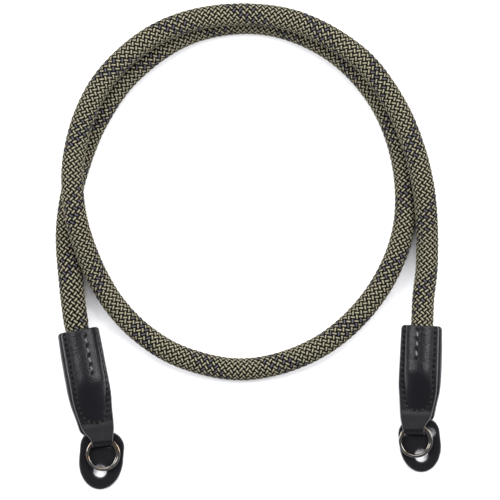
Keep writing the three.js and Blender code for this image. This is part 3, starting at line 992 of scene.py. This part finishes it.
def stitch_starts(name, end, face, places):
    """Loose points on a tab's face, with the way that each stitch faces and runs."""
    points, facing, runs = [], [], []
    for i, place in enumerate(places):
        near = (place, places[max(i - 1, 0)], places[min(i + 1, len(places) - 1)])
        here, before, after = (place_on_tab(face.point(p.x, p.y), end) for p in near)
        across, ahead = (
            place_on_tab(face.point(place.x + du, place.y + ds), end) - here
            for du, ds in ((FACE_STEP, 0), (0, FACE_STEP))
        )
        up = ahead.cross(across).normalized()
        if up.z < 0:
            up.negate()
        points.append(here - up * (SINK * MM))
        facing.append(up)
        runs.append((after - before).normalized())
    hands = [-1.0 if place.x > 0 else 1.0 for place in places]
    return starts_object(name, points, {"facing": facing, "run": runs, "hand": hands})


# ---- The guard ----
def guard_frame(end):
    """From a guard's own frame, in millimetres, with its hole in the middle, to the frame."""
    guard = end["guard"]
    tilt = math.radians(GUARD_TILT)
    return (
        Matrix.Scale(MM, 4)
        @ Matrix.Translation((guard["x"], guard["y"], guard["foot"] * math.sin(tilt)))
        @ Matrix.Rotation(math.radians(guard["turn"]), 4, "Z")
        @ Matrix.Rotation(tilt, 4, "X")
    )


def ring_frame(end):
    """The same from a split ring's own frame, with its centre in the middle."""
    height = GUARD_THICKNESS + GAP + RING_COIL_HEIGHT
    return guard_frame(end) @ Matrix.Translation((*end["ring"], height))


def arc(centre, radii, start, stop, steps):
    """Points of an elliptical arc between two angles in degrees."""
    points = []
    for k in range(steps):
        angle = math.radians(start + (stop - start) * k / steps)
        x, y = centre[0] + radii[0] * math.cos(angle), centre[1] + radii[1] * math.sin(angle)
        points.append(Vector((x, y)))
    return points


def row_of(first, last, steps):
    """Evenly spaced points from one to the other, without the last."""
    return [Vector([a + (b - a) * k / steps for a, b in zip(first, last)]) for k in range(steps)]


# Points on a guard's corners, top, sides and foot, its hole, and its slot's ends and sides.
CORNER_POINTS, TOP_POINTS, SIDE_POINTS, FOOT_POINTS = 22, 7, 5, 90
HOLE_POINTS, SLOT_END_POINTS, SLOT_SIDE_POINTS = 48, 14, 10
SLOT_NARROWS_BETWEEN = (0.6, 0.95)  # as shares of half the straight of a slot


def guard_outlines(end, inset):
    """The guard's outline, hole and slot, anticlockwise, with its leather drawn in by the inset."""
    guard, slot = end["guard"], end["slot"]
    wide, top, corner = (guard[size] - inset for size in ("half_width", "top", "corner"))
    middle = guard["half_width"] - guard["corner"]
    shoulder = guard["top"] - guard["corner"]
    foot = GUARD_WIDEST + guard["foot"] - inset
    outline = [
        *arc((middle, shoulder), (corner, corner), 0, 90, CORNER_POINTS),
        *row_of((middle, top), (-middle, top), TOP_POINTS),
        *arc((-middle, shoulder), (corner, corner), 90, 180, CORNER_POINTS),
        *row_of((-wide, shoulder), (-wide, GUARD_WIDEST), SIDE_POINTS),
        *arc((0, GUARD_WIDEST), (wide, foot), 180, 360, FOOT_POINTS),
        *row_of((wide, GUARD_WIDEST), (wide, shoulder), SIDE_POINTS),
    ]
    hole = arc((0, 0), (GUARD_HOLE_RADIUS + inset,) * 2, 0, 360, HOLE_POINTS)
    along = slot["from_hole"]
    radius = slot["width"] / 2 + inset
    reach = (slot["length"] - slot["width"]) / 2
    first, last = slot["middle"] - reach, slot["middle"] + reach
    opening = [
        *arc((last, along), (radius, radius), -90, 90, SLOT_END_POINTS),
        *row_of((last, along + radius), (first, along + radius), SLOT_SIDE_POINTS),
        *arc((first, along), (radius, radius), 90, 270, SLOT_END_POINTS),
        *row_of((first, along - radius), (last, along - radius), SLOT_SIDE_POINTS),
    ]
    for place in opening:
        if place.y < along:
            hidden = 1 - smoothstep(place.x / reach, *SLOT_NARROWS_BETWEEN)
            place.y += slot["taper"] * hidden * (along - place.y) / radius
    return outline, hole, opening


GUARD_GRID = 0.75
GRID_CLEARANCE = 0.35
GUARD_EDGE = ((0.34, 0), (0.17, 0.05), (0.05, 0.17), (0, 0.34))  # inset and depth of the rounding
GUARD_WAVES = 0.22  # how often a guard is not quite flat
GUARD_WARP = 0.10  # by how much
GUARD_APART = 5.0  # and how differently from the other
FUZZ_WAVES, FUZZ_START = 1.9, 9.0  # how often its edge is ragged, and from where in the noise
GUARD_MIDDLE = 4  # along it, which the edge stands out from
TOP_RIM_CUT = 0.15  # how much of the cut edge's colour, partly a painted highlight, the rim of the smooth side takes
FLESH_BELOW = 0.3  # share of the thickness that shows the flesh side
SAME_PLACE = 1e-6


def inside(point, outline):
    """Whether a point is within a closed outline."""
    crossed = False
    for a, b in zip(outline, [*outline[1:], outline[0]]):
        if (a.y > point.y) != (b.y > point.y):
            if point.x < a.x + (b.x - a.x) * (point.y - a.y) / (b.y - a.y):
                crossed = not crossed
    return crossed


def on_leather(point, outline, *openings):
    """Whether a point is within a guard's outline and in none of its openings."""
    return inside(point, outline) and not any(inside(point, opening) for opening in openings)


def guard_grid(end):
    """Points in rows over a guard's leather, clear of its edges."""
    guard = end["guard"]
    outlines = guard_outlines(end, GUARD_EDGE[0][0] + GRID_CLEARANCE)
    grid = []
    y = -guard["foot"]
    while y < guard["top"]:
        x = -guard["half_width"]
        while x < guard["half_width"]:
            if on_leather(Vector((x, y)), *outlines):
                grid.append(Vector((x, y)))
            x += GUARD_GRID
        y += GUARD_GRID
    return grid


def flat_triangles(outlines, grid):
    """Triangles that fill the leather, as numbers of the outlines' and then the grid's points."""
    points, edges = [], []
    for ring in outlines:
        first = len(points)
        points += ring
        edges += [(first + k, first + (k + 1) % len(ring)) for k in range(len(ring))]
    filled = delaunay_2d_cdt(points + grid, edges, [], 0, SAME_PLACE)
    places, _, faces, came_from = filled[:4]
    triangles = []
    for face in faces:
        middle = sum((places[i] for i in face), Vector((0, 0))) / 3
        if on_leather(middle, *outlines):
            triangles.append([came_from[i][0] for i in face])
    return triangles


def guard_mesh(name, end):
    """A flat piece of leather with a hole and a slot, and rounded cut edges."""
    thickness = GUARD_THICKNESS
    rounding = [*GUARD_EDGE, *((inset, thickness - depth) for inset, depth in reversed(GUARD_EDGE))]
    points = []
    for inset, depth in rounding:
        for ring in guard_outlines(end, inset):
            points += [Vector((p.x, p.y, thickness - depth)) for p in ring]
    flat, grid = guard_outlines(end, GUARD_EDGE[0][0]), guard_grid(end)
    rim = sum(len(ring) for ring in flat)
    cut = [TOP_RIM_CUT] * rim + [1.0] * (len(points) - rim) + [0.0] * (2 * len(grid))
    last_ring = len(points) - rim
    for height in (thickness, 0.0):
        points += [Vector((p.x, p.y, height)) for p in grid]
    faces = []
    for face in flat_triangles(flat, grid):
        faces.append([i if i < rim else last_ring + i for i in face])
        faces.append([last_ring + i + (len(grid) if i >= rim else 0) for i in reversed(face)])
    for level in range(len(rounding) - 1):
        first = level * rim
        for ring in flat:
            for k in range(len(ring)):
                a, b = first + k, first + (k + 1) % len(ring)
                faces.append((a, b, b + rim, a + rim))
            first += len(ring)
    place = guard_frame(end)
    moved = []
    for p in points:
        wave = Vector((p.x, p.y, 0)) * GUARD_WAVES + Vector((0, 0, GUARD_APART * end["side"]))
        warp = Vector((0, 0, noise.noise(wave) * GUARD_WARP))
        ragged = noise.noise(p * FUZZ_WAVES + Vector((0, 0, FUZZ_START)))
        out = Vector((p.x, p.y - GUARD_MIDDLE, 0)).normalized() * (ragged * end["guard"]["fuzz"])
        moved.append(place @ (p + warp + out))
    skin = [0.0 if p.z < thickness * FLESH_BELOW else 1.0 for p in points]
    bare = [0.0] * len(points)
    marks = {"skin": skin, "cut": cut, "pierced": bare, "rubbed": bare}
    return closed_mesh(name, moved, faces, marks)


# ---- The split ring ----
COIL_SLIP = 0.20  # how far the coils lie apart sideways, as a share of the wire's width
COIL_SPREAD = 0.32  # how much smaller the lower coil is, as another
COIL_FILL = 0.96  # height of the wire, as a share of a coil's
FILLET_POINTS = 4


def ring_tree():
    """Two coils of flat wire with a jog from one to the other."""
    sizes = ["Outer radius", "Wire width", "Coil height", "Corner", "Jog", "Start"]
    tree, given, result = new_geometry_tree("Split ring", Float=sizes, Int=["Segments"])
    wire = even_line(tree, calc(tree, "MULTIPLY", given["Segments"], RING_TURNS))
    factor = add_node(tree, "GeometryNodeSplineParameter").outputs["Factor"]
    sweep = calc(tree, "MULTIPLY", factor, RING_TURNS * 2 * math.pi)
    half_width = calc(tree, "MULTIPLY", given["Wire width"], 0.5)
    radius = calc(tree, "SUBTRACT", given["Outer radius"], half_width)
    # The step up is centred half way along the wire.
    half_jog = calc(tree, "MULTIPLY", given["Jog"], 0.5)
    middle = RING_TURNS * math.pi
    ends = (calc(tree, way, middle, half_jog) for way in ("SUBTRACT", "ADD"))
    climb = ramp(tree, sweep, *ends, -0.5, 0.5)
    angle = calc(tree, "ADD", sweep, given["Start"])
    slip = calc(tree, "MULTIPLY", climb, calc(tree, "MULTIPLY", given["Wire width"], COIL_SLIP))
    wider = calc(tree, "MULTIPLY", calc(tree, "SUBTRACT", climb, 0.5), given["Wire width"])
    radius = calc(tree, "MULTIPLY_ADD", wider, COIL_SPREAD, radius)
    turned = (calc(tree, way, angle) for way in ("COSINE", "SINE"))
    x, y = (calc(tree, "MULTIPLY_ADD", share, radius, slip) for share in turned)
    place = combined(tree, X=x, Y=y, Z=calc(tree, "MULTIPLY", climb, given["Coil height"]))
    feeds = {"Curve": placed(tree, wire, place)}
    faced = output_of(tree, "GeometryNodeSetCurveNormal", feeds, mode="Z_UP")
    height = calc(tree, "MULTIPLY", given["Coil height"], COIL_FILL)
    feeds = {"Width": given["Wire width"], "Height": height}
    box = output_of(tree, "GeometryNodeCurvePrimitiveQuadrilateral", feeds)
    feeds = {"Curve": box, "Radius": given["Corner"], "Count": FILLET_POINTS}
    section = output_of(tree, "GeometryNodeFilletCurve", feeds, mode="POLY")
    finish_sweep(tree, faced, section, given, result)
    return tree


# ---- Materials ----
# Textures: how many lumps or lines a metre, and how much detail.
YARN_MOTTLE = (260.0, 3.0)
CORE_SPECKLE = (900.0, 3.0)
LEATHER_PEBBLES = 1500.0
LEATHER_CREASES = (420.0, 4.0)
LEATHER_CLOUDS = (95.0, 2.0)
LEATHER_FIBRES = (2200.0, 3.0)
THREAD_TWIST = (1600.0, 3.0)
METAL_PATCHES = (240.0, 3.0)
METAL_SCRATCHES = (2600.0, 4.0)
CREASE_ROUGHNESS = 0.6
# How many fibres in a bundle's width and in a crossing.
FIBRES_ACROSS, FIBRES_ALONG = 7.0, 1.4
YARN_DIP = 0.57  # how high a bundle has to rise to be lit
# Where the painted shade of the needle slits fades in.
SLIT_SHADE_BETWEEN = (0.10, 0.40)
PATCHES_BETWEEN = (0.46, 0.66)
# What a texture's 0 and 1 stand for: shares of the colour, roughness, and height of the fibres on
# the flesh side and the smooth side.
YARN_SHADES = (0.75, 1.25)
YARN_ROUGHNESS = (0.78, 0.94)
THREAD_ROUGHNESS = (0.45, 0.70)
METAL_ROUGHNESS = (0.10, 0.24)
FIBRE_HEIGHTS = (0.6, 0.1)
PEBBLE_HEIGHT, CREASE_HEIGHT = 0.6, 0.8
CORE_ROUGHNESS, FLESH_ROUGHNESS, FLOOR_ROUGHNESS = 0.95, 0.92, 0.9
# What each mark adds to the roughness of the smooth side, and what is taken off all over.
CREASED, CLOUDED, SLIT, FOLD_DULLING, SMOOTHER = 0.18, 0.10, 0.5, 0.34, 0.09
# How dark the darker colour in each texture is, as a share of the other.
YARN_DIM, CORE_DIM, SKIN_DIM, FLESH_DIM, CUT_DIM, THREAD_DIM = 0.84, 0.5, 0.82, 0.6, 0.7, 0.6
MOTTLED = 0.55  # share of its darker colour that the yarn's mottle gives
# How far the painted shade darkens the leather before the fold.
FOLD_PAINTED_SHADE = 0.5
# Strength of the bumps, and their depth in metres.
YARN_BUMPS = (0.35, 0.0002)
THREAD_BUMPS = (0.5, 0.0002)
METAL_BUMPS = (0.12, 0.00005)
LEATHER_BUMP_DEPTH = 0.00022
YARN_SHINE, THREAD_SHINE, DULL_SHINE, METAL_SHINE = 0.10, 0.25, 0.1, 0.5
# The colour that the painted shade before the fold and in the needle slits darkens towards.
BLACK = (0.001, 0.001, 0.001, 1)


def new_material(name):
    """A material and its tree."""
    material = bpy.data.materials.new(name)
    material.use_nodes = True
    return material, material.node_tree


def object_place(tree):
    """The place on the object."""
    return add_node(tree, "ShaderNodeTexCoord").outputs["Object"]


def finish_material(material, colour, roughness, shine, metallic=0.0, bumps=None):
    """Feeds the Principled BSDF; bumps are a height, its strength and its depth."""
    tree = material.node_tree
    surface = tree.nodes["Principled BSDF"].inputs
    plug(tree, surface["Base Color"], colour)
    plug(tree, surface["Roughness"], roughness)
    surface["Specular IOR Level"].default_value = shine
    surface["Metallic"].default_value = metallic
    if bumps:
        feeds = dict(zip(("Height", "Strength", "Distance"), bumps))
        plug(tree, surface["Normal"], output_of(tree, "ShaderNodeBump", feeds))
    return material


def spread(tree, share, zero, one):
    """The number between two that a share stands for."""
    return calc(tree, "MULTIPLY_ADD", share, one - zero, zero)


def marks_of(tree, *labels):
    """The numbers that a mesh keeps under the names."""
    kind = "ShaderNodeAttribute"
    return [add_node(tree, kind, attribute_name=label).outputs["Fac"] for label in labels]


def mixed(tree, share, first, second, blend="MIX"):
    """One colour or the other by a share."""
    feeds = {0: share, 6: first, 7: second}
    node = add_node(tree, "ShaderNodeMix", feeds, data_type="RGBA", blend_type=blend)
    return node.outputs[2]


def dimmed(colour, share):
    """A share of a screen colour, as scene-linear values."""
    return linear([c * share for c in colour])


def yarn_material(name, colour, valley_shade):
    """Spun yarn: fine fibres along each yarn, with painted shade where it dips under the others."""
    material, tree = new_material(name)
    rise, along, across = marks_of(tree, "rise", "along", "across")
    mottle = noise_at(tree, object_place(tree), *YARN_MOTTLE)
    spun = combined(tree, X=across, Y=along)
    spun = vector_calc(tree, "MULTIPLY", spun, (FIBRES_ACROSS, FIBRES_ALONG, 0))
    fibres = noise_at(tree, spun, 1.0)
    share = calc(tree, "MULTIPLY", mottle, MOTTLED)
    tint = mixed(tree, share, linear(colour), dimmed(colour, YARN_DIM))
    tint = mixed(tree, 1.0, tint, spread(tree, fibres, *YARN_SHADES), "MULTIPLY")
    # Painted shade: a bundle that dips under takes the near-black valley shade colour.
    shade = mixed(tree, ramp(tree, rise, YARN_DIP, 1.0), linear(valley_shade), tint)
    gloss = spread(tree, fibres, *YARN_ROUGHNESS)
    return finish_material(material, shade, gloss, YARN_SHINE, bumps=(fibres, *YARN_BUMPS))


def core_material(colour):
    """The rope's dark filling; its near-black colour is partly painted shade in the gaps between
    the bundles.
    """
    material, tree = new_material("rope_core")
    speckle = noise_at(tree, object_place(tree), *CORE_SPECKLE)
    shade = mixed(tree, speckle, linear(colour), dimmed(colour, CORE_DIM))
    return finish_material(material, shade, CORE_ROUGHNESS, DULL_SHINE)


def leather_material(name, skin, flesh, cut, roughness, grain, shine):
    """Leather: a fine pebble on the smooth side, fibres on the flesh side, and cut edges with edge
    paint whose light colour is partly a painted highlight; painted shade before the fold and at the
    needle slits.
    """
    material, tree = new_material(name)
    place = object_place(tree)
    smooth_side, edge, pierced, rubbed = marks_of(tree, "skin", "cut", "pierced", "rubbed")
    feeds = {"Vector": place, "Scale": LEATHER_PEBBLES, "Randomness": 1.0}
    pebble = output_of(tree, "ShaderNodeTexVoronoi", feeds, feature="SMOOTH_F1")
    creases = noise_at(tree, place, *LEATHER_CREASES, Roughness=CREASE_ROUGHNESS)
    clouds = noise_at(tree, place, *LEATHER_CLOUDS)
    fibres = noise_at(tree, place, *LEATHER_FIBRES)
    # Painted shade standing for the needle slits, which are not cut into the mesh.
    dark = ramp(tree, pierced, *SLIT_SHADE_BETWEEN)
    tone = mixed(tree, clouds, linear(skin), dimmed(skin, SKIN_DIM))
    rough_side = mixed(tree, fibres, linear(flesh), dimmed(flesh, FLESH_DIM))
    # The edges' lighter colour is partly a painted highlight.
    edge_tone_and_highlight = mixed(tree, creases, linear(cut), dimmed(cut, CUT_DIM))
    shade = mixed(tree, edge, mixed(tree, smooth_side, rough_side, tone), edge_tone_and_highlight)
    # Painted shade before the fold and in the needle slits.
    for share in (calc(tree, "MULTIPLY", rubbed, FOLD_PAINTED_SHADE), dark):
        shade = mixed(tree, share, shade, BLACK)
    height = calc(tree, "MULTIPLY", creases, CREASE_HEIGHT)
    height = calc(tree, "MULTIPLY_ADD", pebble, PEBBLE_HEIGHT, height)
    fibrous = spread(tree, smooth_side, *FIBRE_HEIGHTS)
    height = calc(tree, "MULTIPLY_ADD", fibres, fibrous, height)
    gloss = roughness - SMOOTHER
    for mark, rise in ((creases, CREASED), (clouds, CLOUDED), (dark, SLIT), (rubbed, FOLD_DULLING)):
        gloss = calc(tree, "MULTIPLY_ADD", mark, rise, gloss)
    feeds = {0: smooth_side, 2: FLESH_ROUGHNESS, 3: gloss}
    gloss = output_of(tree, "ShaderNodeMix", feeds, data_type="FLOAT")
    bumps = (height, grain, LEATHER_BUMP_DEPTH)
    return finish_material(material, shade, gloss, shine, bumps=bumps)


def thread_material(name, colour):
    """Waxed twisted thread."""
    material, tree = new_material(name)
    twist = noise_at(tree, object_place(tree), *THREAD_TWIST)
    shade = mixed(tree, twist, dimmed(colour, THREAD_DIM), linear(colour))
    gloss = spread(tree, twist, *THREAD_ROUGHNESS)
    return finish_material(material, shade, gloss, THREAD_SHINE, bumps=(twist, *THREAD_BUMPS))


def plated_material(name, metal, worn):
    """Plated steel wire: fine drawn scratches and worn patches."""
    material, tree = new_material(name)
    place = object_place(tree)
    scratches = noise_at(tree, place, *METAL_SCRATCHES)
    bare = ramp(tree, noise_at(tree, place, *METAL_PATCHES), *PATCHES_BETWEEN)
    shade = mixed(tree, bare, linear(metal), linear(worn))
    gloss = spread(tree, scratches, *METAL_ROUGHNESS)
    bumps = (scratches, *METAL_BUMPS)
    return finish_material(material, shade, gloss, METAL_SHINE, metallic=1.0, bumps=bumps)


def floor_material(colour):
    """A plain matt floor."""
    material, _ = new_material("floor")
    return finish_material(material, linear(colour), FLOOR_ROUGHNESS, DULL_SHINE)


# ---- Operators ----


def tube_mesh(name, points, radius, sides):
    """A closed round tube along the points."""
    normal = Vector((0, 0, 1))
    places, faces = [], []
    for i, place in enumerate(points):
        along = (points[min(i + 1, len(points) - 1)] - points[max(i - 1, 0)]).normalized()
        normal = (normal - along * normal.dot(along)).normalized()
        side = along.cross(normal)
        for k in range(sides):
            angle = 2 * math.pi * k / sides
            places.append(place + (normal * math.cos(angle) + side * math.sin(angle)) * radius)
    for first in range(0, len(places) - sides, sides):
        for k in range(sides):
            a, b = first + k, first + (k + 1) % sides
            faces.append((a, b, b + sides, a + sides))
    faces.append(range(sides - 1, -1, -1))
    faces.append(range(len(places) - sides, len(places)))
    return closed_mesh(name, places, faces, {})


# Name, place from the middle of the view, size, and the setting that gives its power.
LIGHTS = (
    ("far_light", (0.0, 0.72, 0.98), (1.3, 0.9), "key"),
    ("left_light", (-0.92, 0.12, 0.86), (0.50, 0.7), "side"),
    ("right_light", (0.92, 0.12, 0.86), (0.50, 0.7), "side"),
)
SKY_COLOUR = (0.97, 0.97, 1.0, 1)
FLOOR_SIZE = 6
FARTHEST_SEEN = 20
SENSOR_WIDTH = 36.0


class STRAP_OT_stage(bpy.types.Operator):
    """Make the camera, the floor and the lights"""

    bl_idname = "strap.stage"
    bl_label = "Stage"

    def execute(self, context):
        settings = context.scene.strap_stage
        centre = Vector((*settings.view_centre, 0))
        camera = bpy.data.cameras.new("camera")
        camera.sensor_width = SENSOR_WIDTH
        camera.lens = SENSOR_WIDTH * settings.camera_height / settings.view_width
        camera.clip_end = FARTHEST_SEEN
        holder = linked("camera", camera)
        holder.location = centre + Vector((0, 0, settings.camera_height))
        context.scene.camera = holder

        bpy.ops.mesh.primitive_plane_add(size=FLOOR_SIZE)
        floor = context.object
        floor.name = "floor"
        floor.data.materials.append(floor_material(settings.floor))

        context.scene.view_settings.view_transform = "Standard"
        world = bpy.data.worlds.new("studio")
        context.scene.world = world
        world.use_nodes = True
        background = world.node_tree.nodes["Background"].inputs
        background["Color"].default_value = SKY_COLOUR
        background["Strength"].default_value = settings.sky

        for name, place, size, setting in LIGHTS:
            light = bpy.data.lights.new(name, "AREA")
            light.shape = "RECTANGLE"
            light.size, light.size_y = size
            light.energy = getattr(settings, setting)
            lamp = linked(name, light)
            lamp.location = centre + Vector(place)
            lamp.rotation_euler = (centre - lamp.location).to_track_quat("-Z", "Y").to_euler()
            lamp.visible_camera = False
        return {"FINISHED"}


# Name, direction and numbers of the bundles in each piece of the sheath.
SHEATH_PIECES = (
    ("braid_tracer", 1, (1, 3, 4), "tracer"),
    ("braid_right_a", 1, (0, 2, 5, 6, 7), "khaki"),
    ("braid_right_b", 1, (8, 9, 10, 11), "khaki"),
    ("braid_left_a", -1, (0, 1, 2, 3, 4, 5), "khaki"),
    ("braid_left_b", -1, (6, 7, 8, 9, 10, 11), "khaki"),
)
BUNDLE_UNEVENNESS = 0.06
BRAID_SEED = 7
SWELL_LENGTH = 45  # from the left tab's mouth
CORE_CLEARANCE = 0.6  # of a bundle's wave, that the core keeps under the sheath
CORE_SIDES = 16


class STRAP_OT_rope(bpy.types.Operator):
    """Make the rope: its core, and the braided sheath over it"""

    bl_idname = "strap.rope"
    bl_label = "Braided rope"

    def execute(self, context):
        settings = context.scene.strap_rope
        points = rope_path()
        length = sum((b - a).length for a, b in zip(points, points[1:]))
        guide = path_object(points)
        tree = braid_tree()
        crossings = round(2 * settings.carriers * length / settings.lead)
        outer = settings.diameter / 2
        middle = outer + settings.fullness - settings.wave - settings.bundle_thickness / 2
        looks = {
            "khaki": yarn_material("khaki_yarn", settings.khaki, settings.valley_shade),
            "tracer": yarn_material("tracer_yarn", settings.tracer, settings.valley_shade),
        }
        in_tab = ENDS[0]["rope"]
        inputs = {
            "Path": guide,
            "Carriers": settings.carriers,
            "Crossings": crossings,
            "Middle radius": middle,
            "Wave": settings.wave,
            "Bundle width": settings.bundle_width,
            "Bundle thickness": settings.bundle_thickness,
            "Unevenness": BUNDLE_UNEVENNESS * MM,
            "Seed": BRAID_SEED,
            "Swell": settings.swell,
            "Swell start": in_tab * MM / length,
            "Swell end": (in_tab + SWELL_LENGTH) * MM / length,
            "Lowest": settings.bundle_thickness / 2,
        }
        for name, direction, carriers, look in SHEATH_PIECES:
            numbers = [float(carrier) for carrier in carriers]
            starts = [(number, 0, 0) for number in numbers]
            base = starts_object(name + "_starts", starts, {"carrier": numbers})
            own = {"Direction": float(direction), "Material": looks[look]}
            piece = grow(base, tree, inputs | own, name)
            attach(piece, "root")
        core_radius = middle - settings.wave * CORE_CLEARANCE
        core = linked("rope_core", tube_mesh("rope_core", points, core_radius, CORE_SIDES))
        core.data.materials.append(core_material(settings.core))
        bpy.data.objects.remove(guide)
        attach(core, "root")
        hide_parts("rope")
        return {"FINISHED"}


def finished(mesh, material, node):
    """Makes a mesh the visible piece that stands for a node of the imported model."""
    mesh.materials.append(material)
    piece = linked(mesh.name, mesh)
    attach(piece, "root")
    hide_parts(node)
    return piece


# How deep the bumps of the leather are, how rough it is and how bright its shine.
TAB_GRAIN, TAB_SHINE = 0.85, 0.21
GUARD_GRAIN, GUARD_ROUGHNESS, GUARD_SHINE = 0.45, 0.72, 0.11
TACK_SLANT = 0.5  # as a share of the outline's slant
STITCH_UNEVENNESS = 0.12
STITCH_SEED = 3


class STRAP_OT_tabs(bpy.types.Operator):
    """Make the two folded leather tabs and their stitches"""

    bl_idname = "strap.tabs"
    bl_label = "Sewn tabs"

    def execute(self, context):
        settings = context.scene.strap_leather
        sewing = context.scene.strap_stitches
        colours = settings.skin, settings.flesh, settings.cut_edge_and_highlight
        look = settings.gloss, TAB_GRAIN, TAB_SHINE
        leather = leather_material("smooth_leather", *colours, *look)
        tree = stitch_tree()
        threads = {
            "outline": thread_material("black_thread", sewing.colour),
            # The middle row's light grey is a painted highlight on black thread.
            "tack": thread_material("grey_thread", sewing.tack_glint_colour),
        }
        pitch = sewing.pitch / MM
        for end in ENDS:
            rows = {"outline": seam_points(end, pitch), "tack": tack_points(end)}
            pierced = [hole for places in rows.values() for hole in needle_holes(places)]
            mesh, face = tab_mesh(f"{end['name']}_folded_tab", end, settings, pierced)
            finished(mesh, leather, f"{end['name']}_tab")
            for row, places in rows.items():
                outline = row == "outline"
                base = stitch_starts(f"{end['name']}_{row}_starts", end, face, places)
                inputs = {
                    "Stitch length": sewing.stitch_length if outline else sewing.tack_length,
                    "Thread": sewing.thread if outline else sewing.tack_thread,
                    "Slant": sewing.slant if outline else sewing.slant * TACK_SLANT,
                    "Unevenness": STITCH_UNEVENNESS,
                    "Seed": STITCH_SEED,
                    "Material": threads[row],
                }
                piece = grow(base, tree, inputs, f"{end['name']}_{row}_stitches")
                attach(piece, "root")
        return {"FINISHED"}


class STRAP_OT_guards(bpy.types.Operator):
    """Make the two leather guards"""

    bl_idname = "strap.guards"
    bl_label = "Guards"

    def execute(self, context):
        settings = context.scene.strap_leather
        colours = settings.guard, settings.flesh, settings.guard_edge_and_highlight
        look = GUARD_ROUGHNESS, GUARD_GRAIN, GUARD_SHINE
        leather = leather_material("guard_leather", *colours, *look)
        for end in ENDS:
            mesh = guard_mesh(f"{end['name']}_lug_guard", end)
            finished(mesh, leather, f"{end['name']}_guard")
        return {"FINISHED"}


class STRAP_OT_rings(bpy.types.Operator):
    """Make the two split rings"""

    bl_idname = "strap.rings"
    bl_label = "Split rings"

    def execute(self, context):
        settings = context.scene.strap_rings
        tree = ring_tree()
        metal = plated_material("plated_wire", settings.metal, settings.worn)
        for end in ENDS:
            base = linked(f"{end['name']}_ring_start", bpy.data.meshes.new("start"))
            inputs = {
                "Outer radius": RING_OUTER_RADIUS * MM,
                "Wire width": RING_WIRE_WIDTH * MM,
                "Coil height": RING_COIL_HEIGHT * MM,
                "Corner": RING_CORNER * MM,
                "Jog": settings.jog,
                "Start": math.radians(end["split"]),
                "Segments": RING_SEGMENTS,
                "Material": metal,
            }
            piece = grow(base, tree, inputs, f"{end['name']}_wound_ring")
            piece.data.transform(ring_frame(end) @ Matrix.Scale(1 / MM, 4))
            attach(piece, "root")
            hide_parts(f"{end['name']}_split_ring")
        return {"FINISHED"}


class STRAP_PT_panel(bpy.types.Panel):
    """Lists the strap's pieces"""

    bl_label = "Camera strap"
    bl_idname = "STRAP_PT_panel"
    bl_space_type = "VIEW_3D"
    bl_region_type = "UI"
    bl_category = "Strap"

    def draw(self, context):
        for operator in OPERATORS:
            self.layout.operator(operator.bl_idname)


OPERATORS = (STRAP_OT_stage, STRAP_OT_rope, STRAP_OT_tabs, STRAP_OT_guards, STRAP_OT_rings)
SETTINGS = (
    ("strap_rope", StrapRopeSettings),
    ("strap_leather", StrapLeatherSettings),
    ("strap_stitches", StrapStitchSettings),
    ("strap_rings", StrapRingSettings),
    ("strap_stage", StrapStageSettings),
)
CLASSES = (*(group for _, group in SETTINGS), *OPERATORS, STRAP_PT_panel)


def register():
    """Adds the settings, the operators and the panel."""
    for made in CLASSES:
        bpy.utils.register_class(made)
    for name, group in SETTINGS:
        setattr(bpy.types.Scene, name, bpy.props.PointerProperty(type=group))


def unregister():
    """Takes them away again."""
    for name, _ in SETTINGS:
        delattr(bpy.types.Scene, name)
    for made in reversed(CLASSES):
        bpy.utils.unregister_class(made)


def main():
    """Builds the whole strap."""
    register()
    bpy.ops.strap.stage()
    bpy.ops.strap.rope()
    bpy.ops.strap.tabs()
    bpy.ops.strap.guards()
    bpy.ops.strap.rings()


if __name__ == "__main__":
    main()
